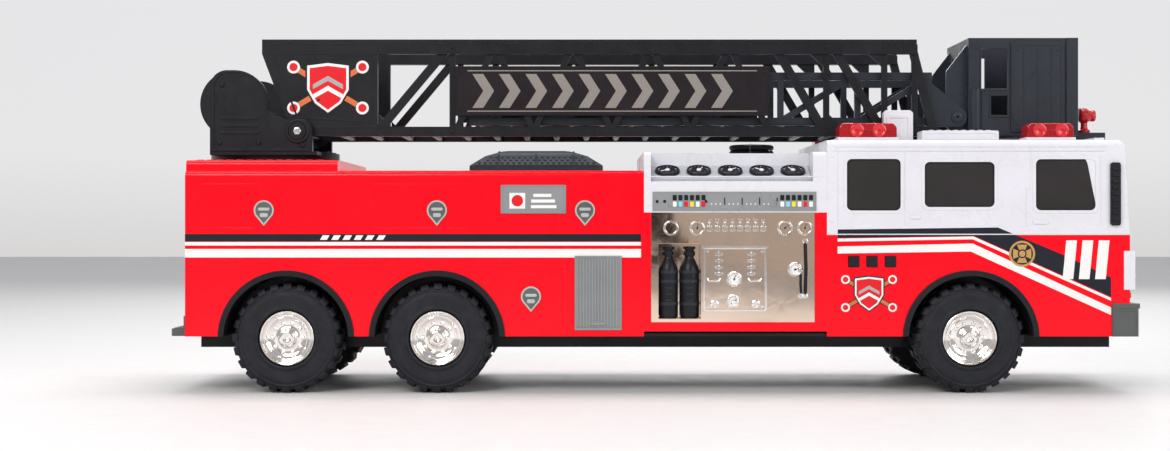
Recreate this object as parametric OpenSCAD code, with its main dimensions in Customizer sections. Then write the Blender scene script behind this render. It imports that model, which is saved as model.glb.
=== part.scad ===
// Toy fire engine with a turntable ladder. +X is the front, +Z is up, and the
// origin is on the ground under the middle of the vehicle.

/* [Body] */
// Width of the body over its flat sides
body_w = 190; // [170:1:240]
// Length of the rear body
rear_body_l = 367.2; // [345:0.2:450]
// Length of the pump section
pump_l = 146.4; // [142:0.2:190]
// Length of the cab
cab_l = 242.4; // [236:0.2:300]
// Depth of the rear step behind the body
step_l = 12; // [8:0.5:20]
// Depth of the front bumper ahead of the cab
bumper_l = 8; // [6:0.5:16]
// Thickness of the moulded shells
wall = 2.5; // [2:0.1:3]
// Radius of the long top edges
edge_r = 4; // [3.5:0.5:6]

/* [Heights] */
// Ground to the bottom edge of the body
body_z = 45.6; // [45:0.2:52]
// Ground to the deck of the rear body
deck_z = 178; // [172:0.2:200]
// Ground to the line between the red and white cab shells
cab_waist_z = 126.8; // [122:0.2:132]
// Ground to the cab roof
roof_z = 202.8; // [202:0.2:230]
// Ground to the bottom of the white pump house
pump_waist_z = 144.8; // [142:0.2:148]
// Ground to the top of the pump house
pump_top_z = 193.6; // [193:0.2:200]
// Height of the ladder platform above the deck
platform_h = 9; // [6:0.5:14]

/* [Wheels] */
// Radius of the tyres
wheel_r = 44; // [40:0.5:46]
// Width of the tyres
tyre_w = 40; // [32:0.5:42]
// Radius of the chrome hubs
hub_r = 22.5; // [18:0.5:28]
// Radius of the steel axles
axle_r = 2.5; // [2:0.1:4]
// Rear end of the body to the rear axle
rear_axle_in = 80.8; // [70:0.2:90]
// Spacing of the two rear axles
bogie_pitch = 120.8; // [116:0.2:130]
// Back of the cab to the front axle
front_axle_in = 115.2; // [108:0.2:120]
// Gap between a tyre and its arch
arch_gap = 6; // [4:0.5:8]
// Number of tread lugs around each tyre
lug_count = 24; // [12:1:36]

/* [Ladder] */
// Width over the ladder's side rails
ladder_w = 100; // [90:1:104]
// Height over the ladder's two rails
ladder_h = 80; // [68:1:84]
// Turntable axis to the ladder's hinge
hinge_out = 28; // [24:1:32]
// Ladder hinge to the front end of the bottom rails
ladder_l = 528; // [500:1:560]
// Height of each bottom rail
rail_h = 8; // [6:0.5:10]
// Height of each top rail
top_rail_h = 12; // [8:0.5:12]
// Thickness of each rail
rail_t = 6; // [5:0.5:8]
// Spacing of the rungs
rung_pitch = 25.6; // [20:0.2:32]
// Travel of the ladder extension
fly_travel = 250; // [100:5:260]
// Length of the sign plates
sign_l = 259; // [200:1:270]

/* [Bucket] */
// Length of the bucket's tub
tub_l = 86; // [70:1:90]
// Height of the bucket
bucket_h = 81; // [74:1:84]
// Radius of the bucket's hinge pin
bucket_pin_r = 3; // [2.5:0.1:4]

/* [Fits] */
// Radial clearance of a running fit
run_gap = 0.05; // [0.03:0.01:0.1]
// Radial clearance of a fixed fit
seat_gap = 0.02; // [0.02:0.01:0.04]
// Clearance between flat pieces that slide past each other
slide_gap = 0.3; // [0.2:0.05:0.6]

/* [Hidden] */
$fn = 64;

// Stations along the vehicle
half_w = body_w / 2;
total_l = step_l + rear_body_l + pump_l + cab_l + bumper_l;
rear_x = step_l - total_l / 2;
pump_x = rear_x + rear_body_l;
cab_x = pump_x + pump_l;
nose_x = cab_x + cab_l;
front_x = nose_x + bumper_l;
axle_z = wheel_r;
rear_axle_x = rear_x + rear_axle_in;
middle_axle_x = rear_axle_x + bogie_pitch;
front_axle_x = cab_x + front_axle_in;
AXLES = [rear_axle_x, middle_axle_x, front_axle_x];
REAR_AXLES = [rear_axle_x, middle_axle_x];
platform_z = deck_z + platform_h;

// Wheels and arches
tyre_out = half_w - 1.5;
tyre_in = tyre_out - tyre_w;
hub_in = tyre_in + 2;
hub_out = tyre_out - 2;
axle_end = hub_out - 6;
arch_r = wheel_r + arch_gap;
liner_t = 1.6;
liner_r = arch_r + liner_t;
liner_in = tyre_in - 4;
flare_t = 1.5;
flare_w = 4.5;

// Chassis
keel_w = 2 * (liner_in - 1);
keel_z = axle_z - 10;
floor_t = 2.5;
boss_r = 7;
boss_in = keel_w / 2 - 9;
chassis_top = body_z + floor_t;
keel_top = max(chassis_top, axle_z + axle_r + 1.6);
chassis_gap = 0.3;

// Batteries, speaker, switch and screws
cell_r = 7.2;
cell_l = 50;
cell_pitch = 2 * cell_r + 1.2;
battery_x = pump_x + pump_l / 2;
cover_l = cell_l + 12;
cover_w = 3 * cell_pitch + 8;
speaker_r = 18;
speaker_x = battery_x + cover_l / 2 + speaker_r + 12;
switch_x = speaker_x + speaker_r + 16;
switch_travel = 4;
knob_l = 6;
knob_w = 5;
screw_r = 1.5;
screw_hole_r = screw_r + 0.2;
head_r = 3;
head_h = 1.6;
head_sink = 0.2;
SCREWS = [
    [rear_x + 24, 26],
    [rear_axle_x + bogie_pitch / 2, 26],
    [pump_x - 40, 26],
    [cab_x + 22, 26],
    [nose_x - 24, 26]
];

// Pump section
panel_x = pump_x + 5.6;
panel_l = pump_l - 15.2;
panel_z = max(body_z + 11.2, keel_top + 6);
panel_h = pump_waist_z - panel_z;
panel_in = 0.8;
lip = 3;
cylinder_r = 7.6;
pocket_x = panel_x + 6;
pocket_l = 34;
pocket_h = 60;
pocket_z = panel_z + 3;
panel_frame = [41.8, 8.8, 50.8, 51.6];
rim = 1.6;
lever_pitch = 6.15;
pocket_d = 2 * cylinder_r + 1;
pump_frame_z = max(body_z + 4, keel_top);
gauge_tilt = 23;
gauge_count = 5;
gauge_r = 10;
slope_y = half_w - 3;
slope_z = pump_waist_z + 24.8;
slope_w = 36;
slope_t = 1.5;
house_rear_l = 5.6;
house_front_l = 11.2;
slope_l = pump_l - house_rear_l - house_front_l;
gauge_pitch = (slope_l - 2 * gauge_r - 8) / (gauge_count - 1);

// Cab
rake = 4;
cab_top_h = roof_z - cab_waist_z;
window_r = 4;
WINDOWS = [
    [cab_x + 16, roof_z - 56.4, 42.9, 41.2],
    [cab_x + 78.2, roof_z - 53.6, 55.8, 36],
    [cab_x + 167.2, roof_z - 56.2, 47.6, 40.8]
];
button_size = 8.3;
button_z = cab_waist_z - 21.2;
button_out = 1.2;
button_travel = 1;
BUTTONS = [cab_x + 21.4, cab_x + 36, cab_x + 50.8];

// Ladder, with u along it and v up from the hinge
slew_x = rear_x + 56;
spindle_r = 12;
bearing_z = platform_z - wall - 6;
ring_h = 3;
disc_r = 54;
disc_z = platform_z + slide_gap;
disc_t = 8;
disc_top = disc_z + disc_t;
roof_gap = 5.2;
ear_r = 12;
coil_h = 12;
coil_x = pump_x + pump_l / 2 + 21;
pack_h = 16.4;
hinge_x = slew_x + hinge_out;
ladder_z = max(
    roof_z + roof_gap, pump_top_z + coil_h + 2, deck_z + pack_h + 2, disc_top + ear_r + 4 - rail_h / 2
);
hinge_z = ladder_z + rail_h / 2;
hinge_pin_r = 4;
rail_v = rail_h / 2;
top_v = ladder_h - rail_v;
rail_in = ladder_w / 2 - rail_t;
web_t = 3;
web_in = ladder_w / 2 - rail_t / 2 - web_t / 2;
base_u = 64.7;
tail_u = 30.7;
heel_u = 8;
top_end_u = ladder_l - 18;
brace_w = 7;
sign_u = base_u + 64.3;
sign_v = 17;
sign_h = ladder_h - 39;
sign_end_u = sign_u + sign_l;
cheek_in = ladder_w / 2 + 2;
cheek_t = 6;
lug_r = 10;

// Sliding inner ladder
fly_out = rail_in - 2;
fly_t = 5;
fly_in = fly_out - fly_t;
fly_u = 140;
fly_end_u = ladder_l - 4;
fly_v = rail_v + 1.5;
fly_h = 44;
fly_rail = 6.5;

// Bucket
bucket_pin_u = ladder_l + 17.6;
bucket_pin_x = hinge_x + bucket_pin_u;
bucket_z = ladder_z + 1;
bucket_pin_z = bucket_z + 15.4;
arm_r = 8;
arm_t = 4;
plate_gap = 1;
plate_out = fly_in - plate_gap;
plate_t = 4;
plate_back = 8.3;
tub_x = bucket_pin_x + arm_r + 0.6;
tub_half = fly_out + 1;
tub_wall = 2.5;
post_w = 9;
post_out = 4.5;
nozzle_x = tub_x + tub_l + 22;
nozzle_r = 6.6;
nozzle_z = bucket_z + 19;
deck_plate_t = 6;
deck_plate_l = 37;
spigot_r = 3;

// ---- helpers ----

// Both sides of the vehicle
module both_sides() {
    children();
    mirror([0, 1, 0]) children();
}

// A plate between two values of y, with its outline drawn in x and z
module plate_y(y0, y1) {
    translate([0, y1, 0]) rotate([90, 0, 0]) linear_extrude(y1 - y0) children();
}

// A bar from x0 of length l, with its section drawn in y and z
module bar_x(x0, l) {
    translate([x0, 0, 0]) rotate([90, 0, 90]) linear_extrude(l) children();
}

// A rectangle with round corners, from its lower left corner
module round_rect(w, h, r) {
    translate([r, 0]) square([w - 2 * r, h]);
    translate([0, r]) square([w, h - 2 * r]);
    for (x = [r, w - r], y = [r, h - r]) translate([x, y]) circle(r);
}

// A section with its two top corners rounded, centred on y = 0
module tunnel(w, z0, z1, r) {
    translate([-w / 2, z0]) square([w, z1 - z0 - r]);
    translate([r - w / 2, z0]) square([w - 2 * r, z1 - z0]);
    for (s = [-1, 1]) translate([s * (w / 2 - r), z1 - r]) circle(r);
}

// A round bar along y between two values of y
module rod_y(r, y0, y1) {
    translate([0, y1, 0]) rotate([90, 0, 0]) cylinder(r = r, h = y1 - y0);
}

// A straight brace between two points, as an outline
module brace(a, b, w) {
    d = b - a;
    l = norm(d);
    n = [-d[1], d[0]] * w / 2 / l;
    polygon([a + n, a - n, b - n, b + n]);
}

// The near and far gauge slopes, with y up the slope and z out of it
module on_slopes() {
    both_sides() translate([0, -slope_y, slope_z]) rotate([gauge_tilt, 0, 0]) children();
}

// Everything on the ladder, with x as u and z as v
module on_ladder() {
    translate([hinge_x, 0, hinge_z]) children();
}

// ---- chassis and what it carries ----

module wheel_bays(margin) {
    for (x = AXLES)
        both_sides()
            translate([x - liner_r - margin, keel_w / 2, 0])
                cube([2 * (liner_r + margin), half_w, body_z * 2]);
}

module chassis() {
    keel_x = rear_x + wall + chassis_gap;
    keel_l = nose_x - wall - chassis_gap - keel_x;
    color("#1c1d20") difference() {
        union() {
            difference() {
                translate([keel_x, chassis_gap + wall - half_w, body_z])
                    cube([keel_l, body_w - 2 * (wall + chassis_gap), floor_t]);
                wheel_bays(1);
            }
            translate([keel_x, -keel_w / 2, keel_z])
                cube([keel_l, keel_w, keel_top - keel_z]);
        }
        difference() {
            translate([keel_x + floor_t, floor_t - keel_w / 2, keel_z + floor_t])
                cube([keel_l - 2 * floor_t, keel_w - 2 * floor_t, body_z]);
            for (x = AXLES)
                both_sides()
                    translate([x, 0, axle_z]) rod_y(boss_r, boss_in, keel_w / 2);
            for (p = SCREWS)
                both_sides()
                    translate([p[0], p[1], keel_z]) cylinder(r = 4, h = keel_top - keel_z);
        }
        for (x = AXLES)
            translate([x, 0, axle_z]) rod_y(axle_r + run_gap, -keel_w, keel_w);
        for (p = SCREWS)
            both_sides()
                translate([p[0], p[1], 0]) {
                    cylinder(r = screw_hole_r, h = body_z * 2);
                    cylinder(r = head_r + seat_gap, h = keel_z + head_h + head_sink);
                }
        translate([battery_x - cover_l / 2, -cover_w / 2, 0])
            cube([cover_l, cover_w, keel_z + floor_t + 1]);
        for (a = [0:60:300])
            translate([speaker_x, 0, 0])
                rotate(a) translate([8, 0, 0]) cylinder(r = 2, h = keel_z + floor_t + 1);
        translate([switch_x - knob_l / 2 - slide_gap, -knob_w / 2 - slide_gap, 0])
            cube([knob_l + switch_travel + 2 * slide_gap, knob_w + 2 * slide_gap, keel_z + floor_t + 1]);
    }
}

module battery_cover() {
    fit = 0.2;
    color("#17181a") difference() {
        translate([battery_x - cover_l / 2 + fit, fit - cover_w / 2, keel_z])
            cube([cover_l - 2 * fit, cover_w - 2 * fit, floor_t]);
        for (s = [-1, 1])
            for (k = [0:4])
                translate([battery_x + s * (8 + 4 * k), 0, keel_z])
                    cube([1.2, cover_w * 0.6, 1], center = true);
    }
}

module batteries() {
    color("#b58a3c")
        for (k = [-1:1])
            translate([battery_x - cell_l / 2, k * cell_pitch, keel_z + floor_t + cell_r + 0.1])
                rotate([0, 90, 0]) {
                    cylinder(r = cell_r, h = cell_l - 1.5);
                    cylinder(r = cell_r / 3, h = cell_l);
                }
}

module speaker() {
    color("#2a2b2e") translate([speaker_x, 0, keel_z + floor_t]) {
        cylinder(r = speaker_r, h = 3);
        cylinder(r = speaker_r * 0.7, h = 8);
        cylinder(r = speaker_r * 0.45, h = 13);
    }
}

module power_switch() {
    color("#d7d8da") translate([switch_x, 0, keel_z]) {
        translate([-knob_l / 2, -knob_w / 2, 0.3]) cube([knob_l, knob_w, floor_t + slide_gap]);
        translate([-knob_l / 2 - 3, -knob_w / 2 - 2, floor_t + slide_gap])
            cube([knob_l + 3 + switch_travel, knob_w + 4, 2]);
    }
}

module circuit_board() {
    board_x = switch_x + 24;
    color("#1f6b3a") translate([board_x, -22, keel_z + floor_t]) {
        for (x = [3, 57], y = [3, 41]) translate([x, y, 0]) cylinder(r = 2, h = 4);
        translate([0, 0, 4]) cube([60, 44, 1.6]);
        translate([20, 14, 5.6]) cube([14, 14, 2.5]);
        for (k = [0:2]) translate([8 + 18 * k, 36, 5.6]) cylinder(r = 2.5, h = 6);
    }
}

module button_board() {
    board_l = BUTTONS[2] - BUTTONS[0] + 24;
    back_y = half_w - wall - 2 - button_travel;
    color("#1f6b3a") {
        translate([BUTTONS[0] - 12, -back_y + 2.2, button_z - 9]) cube([board_l, 1.6, 18]);
        for (x = BUTTONS)
            translate([x - 2.5, -back_y + 0.2, button_z - 2.5]) cube([5, 2, 5]);
        for (s = [0, 1])
            translate([BUTTONS[0] - 12 + s * (board_l - 4), wall - half_w, button_z + 5])
                cube([4, half_w - wall - back_y + 2.2, 4]);
    }
}

module screws() {
    color("#9a9da1")
        for (p = SCREWS)
            both_sides()
                translate([p[0], p[1], keel_z + head_sink]) {
                    cylinder(r = head_r, h = head_h);
                    cylinder(r = screw_r, h = keel_top - keel_z - head_sink + 10);
                }
}

// Posts that the chassis screws bite into, hung from a roof at the given height
module screw_posts(first, last, top) {
    for (k = [first:last])
        both_sides()
            translate([SCREWS[k][0], SCREWS[k][1], keel_top])
                difference() {
                    cylinder(r = 4.5, h = top - keel_top);
                    translate([0, 0, -1]) cylinder(r = screw_r + seat_gap, h = 13);
                }
}

// ---- wheels ----

module axle(x) {
    color("#c9ccd0") translate([x, 0, axle_z]) rod_y(axle_r, -axle_end, axle_end);
}

module tyre_pair(x) {
    shoulder = tyre_w * 0.27;
    color("#17181a")
        translate([x, 0, axle_z])
            both_sides()
                difference() {
                    translate([0, tyre_out, 0]) rotate([90, 0, 0]) rotate_extrude()
                        polygon([
                            [hub_r + 0.1, 0], [wheel_r - 8, 0], [wheel_r - 2, 1.5], [wheel_r, 4],
                            [wheel_r, tyre_w - 4], [wheel_r - 2, tyre_w - 1.5],
                            [wheel_r - 8, tyre_w], [hub_r + 0.1, tyre_w]
                        ]);
                    translate([0, tyre_out - 5, 0]) rotate([90, 0, 0]) rotate_extrude()
                        translate([hub_r + 3.5, 0]) square([wheel_r - hub_r - 9.5, tyre_w]);
                    for (k = [0:lug_count - 1])
                        rotate([0, (k + 0.5) * 360 / lug_count, 0])
                            for (y = [tyre_in - 1, tyre_out + 1 - shoulder])
                                translate([wheel_r - 3, y, -1.8]) cube([6, shoulder, 3.6]);
                }
}

module hub_pair(x) {
    depth = hub_out - hub_in;
    color("#d9dadd")
        translate([x, 0, axle_z])
            both_sides()
                difference() {
                    translate([0, hub_out, 0]) rotate([90, 0, 0]) rotate_extrude()
                        polygon([
                            [0, 0], [6, 0], [7, 1], [8, 5], [14, 7], [hub_r - 3.5, 3],
                            [hub_r - 2, 0.5], [hub_r, 0.5], [hub_r, depth - 4], [hub_r - 2, depth - 4],
                            [hub_r - 2.4, 5.5], [14, 9.5], [7, 8.5], [6, depth], [0, depth]
                        ]);
                    translate([0, 0, 0]) rod_y(axle_r + seat_gap, hub_in - 1, axle_end + 0.1);
                }
}

module arch_liners() {
    color("#1c1d20")
        for (x = AXLES)
            both_sides()
                intersection() {
                    translate([x, 0, axle_z]) difference() {
                        union() {
                            rod_y(liner_r, liner_in, half_w);
                            rod_y(liner_r + flare_w - liner_t, half_w, half_w + flare_t);
                        }
                        rod_y(arch_r, liner_in + liner_t, half_w * 2);
                        rod_y(axle_r + 3, 0, half_w);
                    }
                    translate([x - half_w, 0, body_z]) cube([body_w, body_w, body_w]);
                }
}

// Room for the arches in a shell's sides
module arch_cuts(xs) {
    for (x = xs) translate([x, 0, axle_z]) rod_y(liner_r + 0.1, -body_w, body_w);
}

// Room for the chassis plate under a bulkhead that starts at x
module bulkhead_notch(x) {
    translate([x - 1, wall - half_w, body_z - 1])
        cube([wall + 2, body_w - 2 * wall, floor_t + 1 + chassis_gap]);
    translate([x - 1, -keel_w / 2 - chassis_gap, body_z - 1])
        cube([wall + 2, keel_w + 2 * chassis_gap, keel_top - body_z + 1 + chassis_gap]);
}

// ---- rear body ----

module rear_body() {
    platform_l = 121.6;
    color("#e3101c") difference() {
        union() {
            difference() {
                union() {
                    bar_x(rear_x, rear_body_l) tunnel(body_w, body_z, deck_z, edge_r);
                    bar_x(rear_x, platform_l) tunnel(body_w - 2 * edge_r, deck_z - edge_r, platform_z, edge_r);
                }
                bar_x(rear_x + wall, rear_body_l - 2 * wall)
                    tunnel(body_w - 2 * wall, body_z - 1, deck_z - wall, edge_r - 1);
                bar_x(rear_x + wall, platform_l - 2 * wall)
                    tunnel(body_w - 2 * edge_r - 2 * wall, deck_z - edge_r - wall, platform_z - wall, edge_r - 1);
                arch_cuts(REAR_AXLES);
                bulkhead_notch(pump_x - wall);
            }
            screw_posts(0, 0, platform_z - wall);
            screw_posts(1, 2, deck_z - wall);
            translate([slew_x, 0, bearing_z]) cylinder(r = spindle_r + 6, h = platform_z - bearing_z);
        }
        translate([slew_x, 0, 0]) cylinder(r = spindle_r + run_gap, h = roof_z * 2);
    }
}

module hose_packs() {
    pack_l = 107.4;
    pack_x = pump_x - 32.8 - pack_l;
    module outline(t) {
        polygon([
            [pack_x + t, deck_z - t], [pack_x + t, deck_z + 3], [pack_x + 12 + t / 2, deck_z + 12 - t / 2],
            [pack_x + 24, deck_z + pack_h - t], [pack_x + pack_l - 24, deck_z + pack_h - t],
            [pack_x + pack_l - 12 - t / 2, deck_z + 12 - t / 2], [pack_x + pack_l - t, deck_z + 3],
            [pack_x + pack_l - t, deck_z - t]
        ]);
    }
    color("#25282d")
        both_sides()
            difference() {
                plate_y(half_w - 34, half_w - 6) outline(0);
                plate_y(half_w - 32, half_w - 8) outline(2);
            }
}

// A keyhole badge outline with its point downwards
module badge_outline() {
    badge_r = 8;
    circle(badge_r);
    polygon([[-badge_r * 0.86, -badge_r * 0.5], [0, -12.4], [badge_r * 0.86, -badge_r * 0.5]]);
}

module latch_badges() {
    high = deck_z - 31.5;
    color("#8d9193")
        both_sides()
            plate_y(half_w, half_w + 1)
                for (p = [
                    [rear_x + 63.2, high], [middle_axle_x, high],
                    [pump_x - 47.2, high], [pump_x - 90.4, body_z + 32]
                ])
                    translate(p) badge_outline();
}

module first_aid_plates() {
    color("#8d9193")
        both_sides()
            plate_y(half_w, half_w + 0.8)
                translate([pump_x - 114.6, deck_z - 34]) round_rect(52.2, 22.8, 1);
}

module roller_shutters() {
    shutter_w = 35.5;
    slat = 2.4;
    slats = floor(shutter_w / slat) - 1;
    shutter_x = pump_x - 54.4;
    color("#8d9193")
        both_sides() {
            plate_y(half_w, half_w + 0.5)
                translate([shutter_x, body_z + 6.1]) square([shutter_w, 57.5]);
            for (k = [0:slats])
                plate_y(half_w + 0.4, half_w + 1)
                    translate([shutter_x + slat * k + 0.6, body_z + 7.5]) square([slat * 0.6, 54.7]);
        }
}

module rear_step() {
    color("#4b4f52") {
        translate([rear_x - step_l, 6 - half_w, body_z]) cube([step_l, body_w - 12, 6]);
        translate([rear_x - 2.5, 6 - half_w, body_z + 6]) cube([2.5, body_w - 12, 10]);
    }
}

module tail_lights() {
    color("#b3121a")
        both_sides()
            for (z = [body_z + 32, body_z + 50])
                translate([rear_x - 2, half_w - 20, z]) rotate([0, 90, 0]) cylinder(r = 7, h = 2);
}

// ---- pump section ----

module panel_window(margin) {
    translate([panel_x - margin, panel_z - margin])
        square([panel_l + 2 * margin, panel_h + margin]);
}

module pump_body() {
    color("#d80f1a") difference() {
        translate([pump_x, -half_w, pump_frame_z])
            cube([pump_l, body_w, pump_waist_z - pump_frame_z]);
        translate([pump_x + wall, wall - half_w, 0])
            cube([pump_l - 2 * wall, body_w - 2 * wall, body_w * 2]);
        plate_y(-half_w * 2, half_w * 2) panel_window(0);
    }
}

module pump_panels() {
    fit = 0.1;
    face_y = half_w - panel_in;
    back_y = half_w - wall - 1.5;
    color("#d9d2c6")
        both_sides()
            difference() {
                union() {
                    plate_y(half_w - wall, face_y) panel_window(-fit);
                    plate_y(back_y, half_w - wall)
                        difference() {
                            translate([panel_x - lip, panel_z - lip])
                                square([panel_l + 2 * lip, panel_h + lip - fit]);
                            translate([pocket_x + pocket_l + 3, panel_z + 3])
                                square([panel_x + panel_l - pocket_x - pocket_l - 6, panel_h - 6]);
                        }
                    plate_y(face_y - pocket_d - 1.2, back_y)
                        translate([pocket_x - 1.2, pocket_z - 1.2])
                            square([pocket_l + 2.4, pocket_h + 2.4]);
                    plate_y(face_y, face_y + 0.6)
                        translate([panel_x + panel_frame[0], panel_z + panel_frame[1]])
                            difference() {
                                square([panel_frame[2], panel_frame[3]]);
                                translate([rim, rim])
                                    square([panel_frame[2] - 2 * rim, panel_frame[3] - 2 * rim]);
                            }
                    for (x = [16, 37, panel_l - 24, panel_l - 8])
                        translate([panel_x + x, 0, pump_waist_z - 12.4])
                            rod_y(5, face_y, face_y + 1);
                    for (k = [0:7])
                        translate([panel_x + panel_frame[0] + 5 + lever_pitch * k, 0, pump_waist_z - 12])
                            rod_y(2, face_y, face_y + 1);
                }
                plate_y(face_y - pocket_d, half_w)
                    translate([pocket_x, pocket_z]) square([pocket_l, pocket_h]);
            }
}

module air_cylinders() {
    mid_y = half_w - panel_in - pocket_d + cylinder_r;
    color("#17181a")
        both_sides()
            for (k = [0, 1])
                translate([pocket_x + pocket_l / 4 * (1 + 2 * k), mid_y, pocket_z]) {
                    cylinder(r = cylinder_r, h = 42);
                    translate([0, 0, 42]) cylinder(r1 = cylinder_r, r2 = 4, h = 6);
                    translate([0, 0, 48]) cylinder(r = 4, h = 8);
                }
}

// Outline of the pump house with its two gauge slopes, from z0 up and inset by t
module pump_house_outline(t, z0) {
    inner_y = slope_y - slope_w * cos(gauge_tilt) - t;
    rise_z = slope_z + slope_w * sin(gauge_tilt) - t;
    for (s = [-1, 1])
        polygon([
            [0, z0], [s * (half_w - t), z0], [s * (half_w - t), slope_z - t],
            [s * (slope_y - t), slope_z - t], [s * inner_y, rise_z],
            [s * inner_y, pump_top_z - t], [0, pump_top_z - t]
        ]);
}

module pump_house() {
    color("#eceef2") difference() {
        union() {
            bar_x(pump_x, pump_l) pump_house_outline(0, pump_waist_z);
            bar_x(pump_x, house_rear_l) tunnel(body_w, pump_waist_z, pump_top_z, edge_r);
            bar_x(cab_x - house_front_l, house_front_l) tunnel(body_w, pump_waist_z, pump_top_z, edge_r);
        }
        bar_x(pump_x + wall, pump_l - 2 * wall) pump_house_outline(wall, pump_waist_z - 1);
    }
}

module gauge_panels() {
    color("#b9bcc2")
        on_slopes()
            translate([pump_x + house_rear_l + slide_gap, 2, 0])
                cube([slope_l - 2 * slide_gap, slope_w - 6, slope_t]);
}

module gauges() {
    color("#1a1b1e")
        on_slopes()
            for (k = [0:gauge_count - 1])
                translate([pump_x + house_rear_l + gauge_r + 4 + gauge_pitch * k, slope_w / 2 - 1, slope_t])
                    difference() {
                        cylinder(r = gauge_r, h = 3);
                        translate([0, 0, 2]) cylinder(r = gauge_r - 2, h = 2);
                    }
}

module control_strips() {
    strip_z = pump_waist_z + 1.6;
    color("#8a8d91")
        both_sides() {
            plate_y(half_w, half_w + 0.6)
                translate([panel_x + 1.4, strip_z]) square([panel_l - 0.6, 14.6]);
            for (x = [14, 96], k = [0:5])
                plate_y(half_w + 0.6, half_w + 1.1)
                    translate([panel_x + x + 4.6 * k, strip_z + 3]) square([3.2, 4.4]);
        }
}

module hose_coil() {
    coil_r = 20;
    color("#25282d")
        translate([coil_x, 0, pump_top_z])
            difference() {
                cylinder(r = coil_r, h = coil_h);
                translate([0, 0, -1]) cylinder(r = coil_r - 9, h = coil_h + 2);
            }
}

// ---- cab ----

brow = 4;
rake_h = cab_top_h - brow;

// Where the raked front of the cab is at a height
function front_at(z) = nose_x - rake * (z - cab_waist_z) / rake_h;

// Side outline of the upper cab from z0 up, inset at its front, back and top
module cab_side(inset, z0) {
    brow_z = roof_z - inset - brow;
    polygon([
        [cab_x + inset, z0], [front_at(z0) - inset, z0],
        [front_at(brow_z) - inset, brow_z], [front_at(brow_z) - inset - brow, roof_z - inset],
        [cab_x + inset, roof_z - inset]
    ]);
}

module side_openings(margin) {
    for (w = WINDOWS)
        translate([w[0] - margin, w[1] - margin])
            round_rect(w[2] + 2 * margin, w[3] + 2 * margin, window_r + margin);
}

screen_w = body_w - 36;
screen_z = cab_waist_z + 12;
screen_h = cab_top_h - 26;

module cab_upper() {
    color("#eef0f4") difference() {
        intersection() {
            plate_y(-half_w, half_w) cab_side(0, cab_waist_z);
            bar_x(cab_x, cab_l) tunnel(body_w, cab_waist_z - 1, roof_z, edge_r);
        }
        intersection() {
            plate_y(wall - half_w, half_w - wall) cab_side(wall, cab_waist_z - 1);
            bar_x(cab_x, cab_l) tunnel(body_w - 2 * wall, cab_waist_z - 2, roof_z - wall, edge_r - 1);
        }
        plate_y(-half_w * 2, half_w * 2) side_openings(0);
        bar_x(nose_x - 20, 40)
            translate([-screen_w / 2, screen_z]) round_rect(screen_w, screen_h, window_r);
    }
}

module side_windows() {
    fit = 0.1;
    color("#2b2d31")
        both_sides() {
            plate_y(half_w - wall - 1.2, half_w - wall) side_openings(2);
            plate_y(half_w - wall, half_w - 0.8) side_openings(-fit);
        }
}

module windscreen() {
    fit = 0.1;
    lean = atan2(rake, rake_h);
    color("#2b2d31")
        translate([nose_x, 0, cab_waist_z]) rotate([0, -lean, 0]) translate([0, 0, -cab_waist_z]) {
            bar_x(-wall - 1.2, 1.2)
                translate([-screen_w / 2 - 2, screen_z - 2]) round_rect(screen_w + 4, screen_h + 4, window_r + 2);
            bar_x(-wall, wall - 0.8)
                translate([fit - screen_w / 2, screen_z + 0.3])
                    round_rect(screen_w - 2 * fit, screen_h - 0.6, window_r);
        }
}

module cab_lower() {
    color("#e3101c") difference() {
        union() {
            difference() {
                translate([cab_x, -half_w, body_z]) cube([cab_l, body_w, cab_waist_z - body_z]);
                translate([cab_x + wall, wall - half_w, 0])
                    cube([cab_l - 2 * wall, body_w - 2 * wall, body_w * 2]);
            }
            for (k = [3, 4])
                both_sides()
                    translate([SCREWS[k][0], SCREWS[k][1], keel_top]) cylinder(r = 4.5, h = 16);
            for (k = [3, 4])
                translate([SCREWS[k][0] - 4, 0.5 - half_w, keel_top + 12])
                    cube([8, body_w - 1, 4]);
        }
        arch_cuts([front_axle_x]);
        bulkhead_notch(cab_x);
        for (k = [3, 4])
            both_sides()
                translate([SCREWS[k][0], SCREWS[k][1], 0])
                    cylinder(r = screw_r + seat_gap, h = keel_top + 11);
        for (x = BUTTONS)
            translate([x, -half_w, button_z])
                cube([button_size + 2 * slide_gap, wall * 3, button_size + 2 * slide_gap], center = true);
    }
}

module sound_button(k) {
    color("#1a1b1e")
        translate([BUTTONS[k], 0, button_z]) {
            translate([-button_size / 2, -half_w - button_out, -button_size / 2])
                cube([button_size, button_out + wall + 1, button_size]);
            translate([-button_size / 2 - 1, wall - half_w + slide_gap / 3, -button_size / 2 - 1])
                cube([button_size + 2, 1.6, button_size + 2]);
        }
}

module mirrors() {
    rib_count = 9;
    bar_h = 50.4;
    bar_z = cab_waist_z + 7.6;
    bar_x0 = nose_x - 16;
    color("#1c1d20")
        both_sides() {
            plate_y(half_w, half_w + 2.5) translate([bar_x0, bar_z]) round_rect(8, bar_h, 2);
            for (k = [0:rib_count - 1])
                plate_y(half_w + 2.4, half_w + 4)
                    translate([bar_x0 + 1, bar_z + 4 + (bar_h - 10) / (rib_count - 1) * k]) square([6, 2]);
        }
}

module light_box(x, w, y, d, h) {
    skin = 1.2;
    both_sides()
        translate([x, y, roof_z]) difference() {
            cube([w, d, h]);
            translate([skin, skin, -1]) cube([w - 2 * skin, d - 2 * skin, h - skin + 1]);
        }
}

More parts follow.
